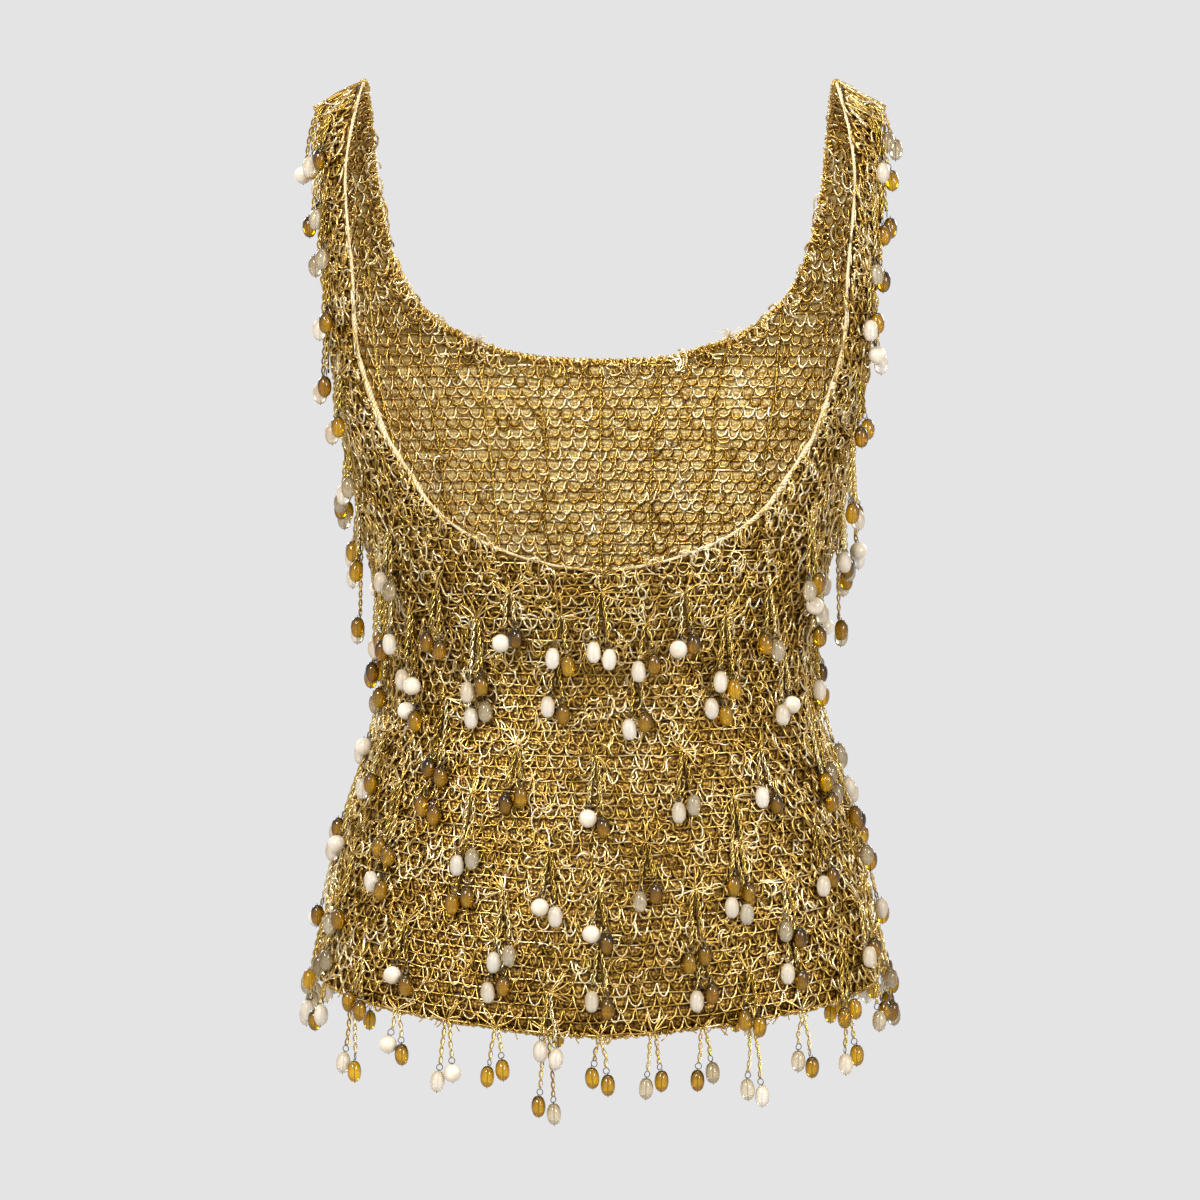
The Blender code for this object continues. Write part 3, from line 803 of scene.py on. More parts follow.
@dataclass(frozen=True)
class MetallicGround:
    """Fine knit of thin metallic thread, seen in the meshes of the heavy yarn.

    Small round loops catch the light on top and stay dark in between, which the colour paints as highlight
    and shade over their bump, and broad patches vary as the knit is pulled more or less open. A painted
    shadow runs along each course of heavy yarn.
    """

    name: str
    dark: str
    mid: str
    pale: str
    metallic: float = 0.55
    roughness: float = 0.45
    loop: float = 1.9 * MM
    patch: float = 7 * MM
    course_shadow: float = 1.0
    loop_share: float = -0.9
    patch_share: float = 1.1
    relief: float = 0.5 * MM

    def make(self) -> Material:
        """Builds the material: small loops, broad patches, and a shadow along each course of heavy yarn.

        Returns:
            The material.
        """
        material, shader = new_material(self.name, Metallic=self.metallic, Roughness=self.roughness)
        place = add_node(material, "ShaderNodeUVMap", uv_map="cloth")
        # the loops bump the skin, and the colour is also painted lighter on top of them and darker in between
        loops = add_node(material, "ShaderNodeTexVoronoi", {"Vector": (place, "UV"),
                         "Scale": 1 / self.loop, "Randomness": 0.7}, voronoi_dimensions="2D")
        patches = add_node(material, "ShaderNodeTexNoise", {"Vector": (place, "UV"),
                           "Scale": 1 / self.patch, "Detail": 3.0, "Roughness": 0.65})
        # painted shadow: the colour runs darker along each course of heavy yarn and lighter midway between
        course = add_node(material, "ShaderNodeAttribute", attribute_name="course")
        away = add_node(material, "ShaderNodeMath", {0: (course, "Fac"), 1: 0.5}, operation="PINGPONG")
        bump = add_node(material, "ShaderNodeBump", {"Height": (loops, "Distance"), "Strength": 0.8,
                        "Distance": self.relief}, invert=True)
        patterns = ((away, "Value", self.course_shadow), (loops, "Distance", self.loop_share),
                    (patches, "Fac", self.patch_share))
        stops = (0.05, self.dark), (0.95, self.pale), (0.5, self.mid)
        colour_by(material, shader, 0.35 - 0.3 * self.course_shadow, patterns, stops, bump)
        return material


@dataclass(frozen=True)
class PressedGlass:
    """Pressed glass bead, polished or acid-frosted.

    Light passes through it, its rim is painted dark where the glass bends the light away, faint cloudy
    streaks run in it, and the skin is smooth or evenly dull. Light gathers low in a bead, which its tone
    gives as a painted glow.
    """

    name: str
    deep: str
    mid: str
    light: str
    roughness: float
    transmission: float
    # how much darker the rim is painted, as painted shade
    rim: float = 0.6
    gloss: float = 0.3
    streak: float = 3.5 * MM

    def make(self) -> Material:
        """Builds the material: tone with its painted glow, streaks, less a painted rim shade, on a ramp of
        three tints.

        Returns:
            The material.
        """
        material, shader = new_material(self.name, Roughness=self.roughness, IOR=1.5,
                                        Specular_IOR_Level=self.gloss,
                                        Transmission_Weight=self.transmission)
        place = add_node(material, "ShaderNodeTexCoord")
        tone = add_node(material, "ShaderNodeAttribute", attribute_name="tone")
        streaks = add_node(material, "ShaderNodeTexNoise", {"Vector": (place, "Object"),
                           "Scale": 1 / self.streak, "Detail": 2.0})
        # painted shade: the ramp runs darker towards the bead's rim
        facing = add_node(material, "ShaderNodeLayerWeight", {"Blend": 0.35})
        patterns = ((streaks, "Fac", 0.5), (tone, "Fac", 1.0), (facing, "Facing", -self.rim))
        stops = (0.05, self.deep), (0.95, self.light), (0.45, self.mid)
        colour_by(material, shader, -0.2, patterns, stops)
        return material


@dataclass(frozen=True)
class PearlLacquer:
    """Imitation pearl: a glass ball under coats of nacre lacquer, satin with a clear gloss over it."""

    name: str = "nacre_lacquer"
    shade: str = "#C2B399"
    light: str = "#DDD2BF"
    cloud: float = 6 * MM

    def make(self) -> Material:
        """Builds the material: soft clouds in the nacre under a clear coat.

        Returns:
            The material.
        """
        material, shader = new_material(self.name, Roughness=0.28, Coat_Weight=0.6, Coat_Roughness=0.08,
                                        Sheen_Weight=0.15, Subsurface_Weight=0.1,
                                        Subsurface_Scale=1.5 * MM)
        place = add_node(material, "ShaderNodeTexCoord")
        clouds = add_node(material, "ShaderNodeTexNoise", {"Vector": (place, "Object"),
                          "Scale": 1 / self.cloud, "Detail": 2.0})
        colour_by(material, shader, (clouds, "Fac"), (), ((0.3, self.shade), (0.7, self.light)))
        return material


@dataclass(frozen=True)
class OxidisedWire:
    """Silver-plated wire, darkened: grey-brown in the hollows, worn brighter on the outside."""

    name: str = "oxidised_silver_wire"
    dark: str = "#2B2620"
    light: str = "#8C8372"
    patch: float = 1.2 * MM

    def make(self) -> Material:
        """Builds the material: patchy tarnish over bright metal.

        Returns:
            The material.
        """
        material, shader = new_material(self.name, Metallic=0.9, Roughness=0.38)
        place = add_node(material, "ShaderNodeTexCoord")
        tarnish = add_node(material, "ShaderNodeTexNoise", {"Vector": (place, "Object"),
                           "Scale": 1 / self.patch, "Detail": 2.0})
        colour_by(material, shader, (tarnish, "Fac"), (), ((0.35, self.dark), (0.7, self.light)))
        return material


@dataclass(frozen=True)
class MattePaper:
    """Seamless studio paper: even, matt and pale, softly lit from all round."""

    name: str = "studio_paper"
    lit: str = PALE_GREY
    glow: float = 1.0

    def make(self) -> Material:
        """Builds the material, with an even glow in place of many bounces of light.

        Returns:
            The material.
        """
        material, _ = new_material(self.name, Roughness=1.0, Specular_IOR_Level=0.0,
                                   Base_Color=(0.0, 0.0, 0.0, 1.0), Emission_Strength=self.glow,
                                   Emission_Color=linear(self.lit))
        material.cycles.emission_sampling = "NONE"
        return material


@dataclass
class Ground:
    """The fine ground of a panel: a thin closed shell on the form, with a rim all round."""

    form: Form
    outside: Material
    inside: Material
    thickness: float = 0.6 * MM
    sink: float = 0.7 * MM
    rows_per_row: int = 3
    half_columns: int = 30
    merge: float = 0.001 * MM

    def build(self, side: Side, levels: np.ndarray) -> Piece:
        """Builds one panel's ground.

        A skin is point(row, column) on the solids' grid, three times as fine. The inner skin is the outer
        one moved in along the normals, and the mirrored half is merged to the first at the centre.

        Args:
            side: Front or back.
            levels: Roots of the net's courses, from the hem up.

        Returns:
            The panel's piece.
        """
        keys = np.cumsum([key[2] for key in self.form.key_rows[side]])
        neck_key = next(row for row, key in zip(keys, self.form.key_rows[side])
                        if key[0] == EDGE_TABLES[side, Edge.NECK][0, 1]) * self.rows_per_row
        rows = np.arange(keys[-1] * self.rows_per_row + 1) / self.rows_per_row
        columns = np.linspace(0.0, self.form.half_columns, self.half_columns + 1)
        row, column = np.meshgrid(rows, columns, indexing="ij")
        share, root = self.form.place(side, row, column)
        skins = [self.form.at(side, share, root, -self.sink - inward)[0]
                 for inward in (0.0, self.thickness)]
        for skin in skins:
            skin[:neck_key + 1, 0, 0] = 0.0
        across = np.cumsum(np.linalg.norm(np.diff(skins[0], axis=1, prepend=skins[0][:, :1]), axis=2), axis=1)
        down = np.cumsum(np.linalg.norm(np.diff(skins[0], axis=0, prepend=skins[0][:1]), axis=2), axis=0)
        index = np.arange(2 * share.size).reshape(2, *share.shape)
        outer, inner = index
        walls = [self.quads(outer), self.quads(inner)[:, ::-1]]
        rims = [np.stack([outer[0], inner[0]]), np.stack([outer[:, -1], inner[:, -1]]),
                np.stack([outer[-1, ::-1], inner[-1, ::-1]]),
                np.stack([outer[neck_key:, 0][::-1], inner[neck_key:, 0][::-1]])]
        faces = np.vstack([*walls, *(self.quads(rim[::-1]) for rim in rims)])
        points = np.concatenate([skin.reshape(-1, 3) for skin in skins])
        bundle = Bundle()
        bundle.add((points, [faces if side is Side.FRONT else faces[:, ::-1]]))
        bundle.add((points * MIRROR, [faces[:, ::-1] if side is Side.FRONT else faces]))
        piece = bundle.make(f"ground_{side.word}", self.outside)
        flat = np.stack([across, down], axis=2).reshape(-1, 2)
        flat = np.concatenate([flat, flat, flat * (-1.0, 1.0), flat * (-1.0, 1.0)])
        inside = np.zeros(len(faces), dtype=np.int32)
        inside[len(walls[0]):2 * len(walls[0])] = 1
        course = np.interp(-self.form.level(root, share), -levels, np.arange(len(levels))).ravel()
        self.dress(piece, flat, np.concatenate([inside, inside]), np.tile(course, 4))
        return piece

    @staticmethod
    def quads(index: np.ndarray) -> np.ndarray:
        """The quads of a grid of vertex numbers."""
        corners = index[:-1, :-1], index[:-1, 1:], index[1:, 1:], index[1:, :-1]
        return np.stack(corners, axis=-1).reshape(-1, 4)

    def dress(self, piece: Piece, flat: np.ndarray, inside: np.ndarray, course: np.ndarray) -> None:
        """Gives a piece its cloth map in metres and its inner face's material, and closes its centre.

        Args:
            piece: The ground.
            flat: Map coordinates of each vertex.
            inside: 1 for each face of the inner skin, and 0 for the others.
            course: Count of courses from the hem to each vertex.
        """
        mesh = piece.data
        mesh.attributes.new("course", "FLOAT", "POINT").data.foreach_set("value", course.astype(np.float32))
        mesh.materials.append(self.inside)
        mesh.polygons.foreach_set("material_index", inside)
        corners = np.empty(len(mesh.loops), dtype=np.int32)
        mesh.loops.foreach_get("vertex_index", corners)
        layer = mesh.uv_layers.new(name="cloth")
        layer.data.foreach_set("uv", flat[corners].astype(np.float32).ravel())
        shell = bmesh.new()
        shell.from_mesh(mesh)
        bmesh.ops.remove_doubles(shell, verts=shell.verts, dist=self.merge)
        shell.to_mesh(mesh)
        shell.free()
        mesh.update()


@dataclass
class Course:
    """One course of the net: its level and depth as roots, its span as shares, and its loops."""

    level: float
    depth: float
    start: float
    end: float
    width: float
    cells: int
    shift: float


@dataclass
class Net:
    """The heavy yarn: courses of U-shaped loops that hang from a level yarn, on either face of a panel.

    The pitch is the distance between courses and the cell the width of a loop. Reach, spread and drift say
    how far a loop hangs past the next course, how much that varies, and how far the yarn wanders across,
    down and out of the cloth. Where the front's neck lets the back's inside show, the yarn there has as
    many points as outside, and knots.
    """

    form: Form
    pitch: float = 6.3 * MM
    cell: float = 7.8 * MM
    yarn: float = 0.84 * MM
    course_yarn: float = 0.74 * MM
    lifts: dict[Face, float] = field(default_factory=lambda: {Face.OUTER: 0.2 * MM, Face.INNER: -1.9 * MM})
    loop_points: dict[tuple, int] = field(default_factory=lambda: {
        (Side.FRONT, Face.OUTER): 6, (Side.BACK, Face.OUTER): 4,
        (Side.FRONT, Face.INNER): 2, (Side.BACK, Face.INNER): 3,
    })
    shown_points: int = 6
    shown_above: float = 0.54
    margin: float = 1.4 * MM
    least_span: float = 0.03
    bulge: float = 0.9 * MM
    flatness: float = 0.5
    reach: float = 1.10
    spread: float = 0.16
    slack: float = 0.4
    drift: tuple = (0.75 * MM, 0.45 * MM, 0.18 * MM)
    tone_spread: float = 0.28
    knot: tuple = (1.0 * MM, 0.8 * MM, 1.4 * MM)
    knot_below: float = 0.12
    knot_lift: float = 1.25
    knot_tones: tuple = (0.3, 1.0)
    level_steps: int = 900
    seed: int = 11
    def levels(self, side: Side) -> np.ndarray:
        """The courses' levels, evenly spaced over the cloth midway between the neck and the side.

        Args:
            side: Front or back.

        Returns:
            Roots, from the hem up to the shoulder.
        """
        roots = np.linspace(np.sqrt(self.form.hem_centre), 0.0, self.level_steps)
        length = arc_length(self.form.at(side, 0.75, self.form.course(roots, 0.75))[0])
        count = int(length[-1] / self.pitch)
        return np.interp(np.arange(count + 1) * length[-1] / count, length, roots)

    def spans(self, side: Side, level: float) -> list[tuple[float, float]]:
        """The signed shares between which a course runs.

        Args:
            side: Front or back.
            level: The course's root.

        Returns:
            One span, two beside the neck, or none where the strap is too narrow.
        """
        inner, outer = (float(limit) for limit in self.form.limits(side, level))
        margin = self.margin / float(self.form.read(side, 0.7, level)[6])
        outer = outer - margin if outer < 1.0 else 1.0
        if inner <= 0.0:
            return [(-outer, outer)]
        inner += margin
        return [(-outer, -inner), (inner, outer)] if outer - inner > self.least_span else []

    def build(self, side: Side, face: Face, material: Material) -> Piece:
        """Builds the yarn on one face of a panel.

        A loop of the course at level L hangs towards the next one: root = L + |sin(pi t)|^p * depth, where
        t counts the loops along the course. Every loop has its own depth, lean and tone.

        Args:
            side: Front or back.
            face: Outer or inner.
            material: The yarn's material.

        Returns:
            The piece.
        """
        rng = np.random.default_rng([self.seed, int(side is Side.BACK), int(face is Face.OUTER)])
        bundle = Bundle()
        levels = self.levels(side)
        for count, level in enumerate(levels[1:-1], start=1):
            shown = side is Side.BACK and face is Face.INNER and level < self.shown_above
            points = self.shown_points if shown else self.loop_points[side, face]
            for start, end in self.spans(side, level):
                width = float(self.form.read(side, 0.5 * (start + end), level)[6])
                cells = max(2, int(round(abs(end - start) * width / self.cell)))
                course = Course(level, levels[count - 1] - level, start, end, width, cells, 0.5 * (count % 2))
                bundle.add(*self.strand(side, face, course, points, self.yarn, rng))
                bundle.add(*self.strand(side, face, course, 0, self.course_yarn, rng))
                if shown:
                    bundle.add(*self.knots(side, face, course, rng))
        return bundle.make(f"net_{side.word}" if face is Face.OUTER else f"net_inside_{side.word}", material)

    def strand(self, side: Side, face: Face, course: Course, points: int, radius: float,
               rng: np.random.Generator) -> tuple[Shape, np.ndarray]:
        """One yarn of a course: its loops, or the level yarn that they hang from when there are no points.

        Args:
            side: Front or back.
            face: Outer or inner.
            course: The course.
            points: Points along a loop, or 0.
            radius: Radius of the yarn.
            rng: The random numbers.

        Returns:
            The shape and its tones.
        """
        t = np.linspace(0.0, course.cells, course.cells * max(points, 2) + 1)
        random = rng.normal(size=(4, course.cells + 3))
        aside, along, out, _ = (np.interp(t, np.arange(course.cells + 3) - 1.0, row) for row in random)
        cell = np.clip((t + course.shift).astype(int), 0, course.cells)
        hang = np.abs(np.sin(np.pi * (t + course.shift))) ** self.flatness
        depth = course.depth * (self.reach + self.spread * random[3, cell])
        if not points:
            hang, depth = self.slack * hang, 0.0
        across = self.drift[0] * aside * np.sin(np.pi * t / course.cells)
        share = course.start + (course.end - course.start) * t / course.cells + across / course.width
        root = self.form.course(course.level + depth * hang, share)
        root = root + self.drift[1] * along / self.form.read(side, share, root)[..., 7]
        lift = self.lifts[face] + face.value * (self.bulge * hang + self.drift[2] * out)
        path, normals = self.form.at(side, share, root, lift)
        tone = np.clip(0.5 + self.tone_spread * random[2, cell], 0.0, 1.0)
        return sweep(path[None], normals, radius), tone

    def knots(self, side: Side, face: Face, course: Course, rng: np.random.Generator) -> tuple:
        """Small knots where two loops meet under the level yarn: octahedra, a little taller than wide.

        Args:
            side: Front or back.
            face: Outer or inner.
            course: The course.
            rng: The random numbers.

        Returns:
            The shape and its tones.
        """
        t = np.arange(1, course.cells + 1) - course.shift
        share = course.start + (course.end - course.start) * t / course.cells
        root = self.form.course(course.level + self.knot_below * course.depth, share)
        centres, normals = self.form.at(side, share, root, self.knot_lift * self.lifts[face])
        points = np.vstack([np.eye(3), -np.eye(3)]) * self.knot
        faces = np.array([(0, 1, 2), (1, 3, 2), (3, 4, 2), (4, 0, 2),
                          (1, 0, 5), (3, 1, 5), (4, 3, 5), (0, 4, 5)])
        x = unit(np.cross(normals, UP))
        axes = np.stack([x, np.cross(UP, x), np.broadcast_to(UP, x.shape)], axis=1)
        return scatter(points, [faces], axes, centres), rng.uniform(*self.knot_tones, len(t))


@dataclass(frozen=True)
class CurlCounts:
    """Curls of a panel: over its outside, on its straps' two faces, along its neck, and on its inside."""

    outside: int
    straps: int
    straps_inside: int
    neck: int
    lining: int


@dataclass
class Floats:
    """Loose curls of yarn that stand out of the cloth, and the rays of yarn that hold each drop's root.

    A pair of numbers is a lowest and a highest value, but tones are a mean and a spread, and the rays' lift
    is its start and its end.
    Turns and arcs are in radians.
    """

    form: Form
    counts: dict[Side, CurlCounts] = field(default_factory=lambda: {
        Side.FRONT: CurlCounts(3180, 330, 80, 190, 0), Side.BACK: CurlCounts(1200, 100, 420, 240, 200),
    })
    yarn: float = 0.68 * MM
    margin: float = 2.2 * MM
    top: float = 0.10
    straps_beyond: float = 0.45
    shown_above: float = 0.57
    neck_spread: dict[Side, float] = field(default_factory=lambda: {Side.FRONT: 0.45, Side.BACK: 2.0})
    neck_reach: float = 6.0 * MM
    radius_mm: tuple = (2.2, 5.2)
    arc: tuple = (1.2, 3.6)
    oblong: tuple = (0.6, 1.7)
    over_mm: tuple = (0.7, 1.6)
    rise_mm: tuple = (0.2, 1.3)
    wall: float = 2.0 * MM
    rays: int = 9
    ray: tuple = (6.0 * MM, 16.0 * MM)
    ray_turn: tuple = (-3.8, 0.7)
    ray_bend: tuple = (-0.6, 0.6)
    tones: tuple = (0.55, 0.25)
    ray_tones: tuple = (0.5, 0.22)
    ray_lift_mm: tuple = (2.9, 0.9)
    seed: int = 23
    def scattered(self, side: Side, count: int, rng: np.random.Generator) -> Places:
        """Places spread evenly by area over a panel, clear of its edges.

        Args:
            side: Front or back.
            count: How many are tried for.
            rng: The random numbers.

        Returns:
            Shares and roots.
        """
        tries = count * 5
        share = rng.uniform(-1.0, 1.0, tries)
        root = rng.uniform(self.top, np.sqrt(self.form.hem_side), tries)
        stretch = self.form.read(side, share, root)[..., 6:8]
        inner, outer = self.form.limits(side, root)
        edge = self.margin / stretch[:, 0]
        inside = (np.abs(share) > np.where(inner > 0, inner + edge, -1.0)) & (np.abs(share) < outer - edge)
        area = stretch[:, 0] * stretch[:, 1]
        kept = np.flatnonzero(inside & (rng.uniform(size=tries) < area / area.max()))[:count]
        return share[kept], root[kept]

    def curls(self, side: Side, share: np.ndarray, root: np.ndarray, face: Face,
              rng: np.random.Generator) -> tuple[Shape, np.ndarray]:
        """Arcs of yarn, (r cos a, r sin a) over a turn of their own, that rise out of the cloth midway.

        Args:
            side: Front or back.
            share: Shares of their middles.
            root: Roots of their middles.
            face: Outer or inner.
            rng: The random numbers.

        Returns:
            The shape and its tones.
        """
        one_each = (len(share), 1)
        t = np.linspace(0.0, 1.0, 6)
        radius = rng.uniform(*self.radius_mm, one_each) * MM
        angle = rng.uniform(0, 2 * np.pi, one_each) + rng.uniform(*self.arc, one_each) * t
        oblong = rng.uniform(*self.oblong, one_each)
        places = self.form.moved(side, share[:, None], root[:, None], radius * np.cos(angle),
                                 radius * oblong * np.sin(angle))
        lift = rng.uniform(*self.over_mm, one_each) + rng.uniform(*self.rise_mm, one_each) * np.sin(np.pi * t)
        lift = face.value * lift * MM - (self.wall if face is Face.INNER else 0.0)
        path, normals = self.form.at(side, *places, lift)
        return sweep(path, normals, self.yarn), np.clip(rng.normal(*self.tones, len(share)), 0.0, 1.0)

    def fans(self, side: Side, share: np.ndarray, root: np.ndarray,
             rng: np.random.Generator) -> tuple[Shape, np.ndarray]:
        """Rays from each drop's root that spread up and sideways and bend, and stop short of the hem.

        Args:
            side: Front or back.
            share: Shares of the drops' roots.
            root: Their roots down the cloth.
            rng: The random numbers.

        Returns:
            The shape and its tones.
        """
        share, root = (np.repeat(values, self.rays)[:, None] for values in (share, root))
        t = np.linspace(0.0, 1.0, 5)
        angle = rng.uniform(*self.ray_turn, share.shape) + rng.uniform(*self.ray_bend, share.shape) * t
        reach = rng.uniform(*self.ray, share.shape) * t
        share, root = self.form.moved(side, share, root, reach * np.cos(angle), reach * np.sin(angle))
        root = np.minimum(root, np.sqrt(self.form.hem_drop(np.clip(share, -1.0, 1.0))))
        start, end = self.ray_lift_mm
        path, normals = self.form.at(side, share, root, (start + (end - start) * t) * MM)
        return sweep(path, normals, self.yarn), np.clip(rng.normal(*self.ray_tones, len(share)), 0.0, 1.0)

    def along_neck(self, side: Side, count: int, rng: np.random.Generator) -> Places:
        """Places along the neck edge, within a reach of it: most of the front's are near the centre.

        Args:
            side: Front or back.
            count: How many.
            rng: The random numbers.

        Returns:
            Shares and roots.
        """
        line = self.form.edge_lines[side, Edge.NECK]
        away = np.abs(rng.normal(0.0, self.neck_spread[side], count)) % 1.0
        pick = (away * (len(line) - 1)).astype(int)
        hand = rng.choice((-1.0, 1.0), count)
        down = rng.uniform(0.2, 1.0, count) * self.neck_reach
        return self.form.moved(side, line[pick, 0] * hand, line[pick, 1], 0.0, down)

    def build(self, side: Side, roots: Places, material: Material) -> Piece:
        """Builds a panel's curls and fans as one piece.

        The neck's curls are outside on the front and inside on the back, and the lining's are on the part
        of the inside that shows above the front's neck.

        Args:
            side: Front or back.
            roots: Shares and roots of the drops.
            material: The yarn's material.

        Returns:
            The piece.
        """
        rng = np.random.default_rng([self.seed, int(side is Side.BACK)])
        counts = self.counts[side]
        bundle = Bundle()
        bundle.add(*self.curls(side, *self.scattered(side, counts.outside, rng), Face.OUTER, rng))
        for number, face in ((counts.straps, Face.OUTER), (counts.straps_inside, Face.INNER)):
            share, root = self.scattered(side, 8 * number, rng)
            upper = np.flatnonzero(self.form.limits(side, root)[0] > self.straps_beyond)[:number]
            bundle.add(*self.curls(side, share[upper], root[upper], face, rng))
        face = Face.OUTER if side is Side.FRONT else Face.INNER
        bundle.add(*self.curls(side, *self.along_neck(side, counts.neck, rng), face, rng))
        if counts.lining:
            share, root = self.scattered(side, 3 * counts.lining, rng)
            upper = np.flatnonzero(root < self.shown_above)[:counts.lining]
            bundle.add(*self.curls(side, share[upper], root[upper], Face.INNER, rng))
        bundle.add(*self.fans(side, *roots, rng))
        return bundle.make(f"loose_yarn_{side.word}", material)


@dataclass
class Rope:
    """Plies of yarn laid round a line: offset = reach * (cos(turn) * normal + sin(turn) * sideways).

    Lumps is the share by which the plies grow thicker and thinner, from one lump of so many points to the
    next.
    """

    plies: int
    ply: float
    reach: float
    pitch: float
    flat: float = 1.0
    lumps: float = 0.0
    lump_points: int = 7

    def shape(self, points: np.ndarray, normals: np.ndarray, phase: float = 0.0,
              swell: Values = 1.0) -> Shape:
        """Lays the plies along a line of evenly spaced points.

        Args:
            points: The line.
            normals: Normals at its points.
            phase: Turn of the first ply at the start.
            swell: Thickness at its points, as a multiple.

        Returns:
            The vertices and face arrays of all the plies.
        """
        tangent = unit(np.gradient(points, axis=0))
        sideways = unit(np.cross(tangent, normals))
        upright = np.cross(sideways, tangent)
        turn = 2 * np.pi * (arc_length(points) / self.pitch + np.arange(self.plies)[:, None] / self.plies)
        turn = (turn + phase)[..., None]
        knots = np.random.default_rng(len(points)).uniform(-1.0, 1.0, len(points) // self.lump_points + 3)
        thick = swell * (1.0 + self.lumps * between_knots(knots, len(points), self.lump_points))
        paths = points + self.reach * thick[:, None] * (np.cos(turn) * upright * self.flat
                                                        + np.sin(turn) * sideways)
        return sweep(paths, upright, self.ply * thick)

@dataclass
class Stays:
    """Twisted yarns that run down the back's inside, where the drops are worked in."""

    form: Form
    yarn: Rope = field(default_factory=lambda: Rope(2, 0.55 * MM, 0.6 * MM, 5.0 * MM))
    lift: float = -3.1 * MM
    spacing: float = 28 * MM
    top: float = 0.30
    bottom: float = 0.58
    below_neck: float = 0.006
    from_armhole: float = 0.04
    points: int = 60
    sway: float = 1.1 * MM
    sway_points: int = 8
    step: float = 2.0 * MM
    seed: int = 16

    def build(self, material: Material) -> Piece:
        """Builds the stays, each from the neck edge or the top root down to the bottom root.

        Args:
            material: The yarn's material.

        Returns:
            The piece.
        """
        rng = np.random.default_rng(self.seed)
        neck = self.form.edge_lines[Side.BACK, Edge.NECK]
        width = float(self.form.read(Side.BACK, 0.3, self.bottom)[6])
        number = int(width / self.spacing)
        bundle = Bundle()
        for share in np.arange(-number, number + 1) * self.spacing / width:
            start = max(self.top, float(np.interp(abs(share), neck[:, 0], neck[:, 1])) + self.below_neck)
            if self.form.limits(Side.BACK, start)[1] < abs(share) + self.from_armhole:
                continue
            root = np.linspace(start, self.bottom, self.points)
            knots = rng.normal(size=self.points // self.sway_points + 2)
            sway = between_knots(knots, self.points, self.sway_points) * self.sway / width
            line = self.form.at(Side.BACK, share + sway, root, self.lift)
            bundle.add(self.yarn.shape(*evenly(*line, step=self.step)), rng.uniform(0.1, 0.5))
        return bundle.make("stays_back", material)


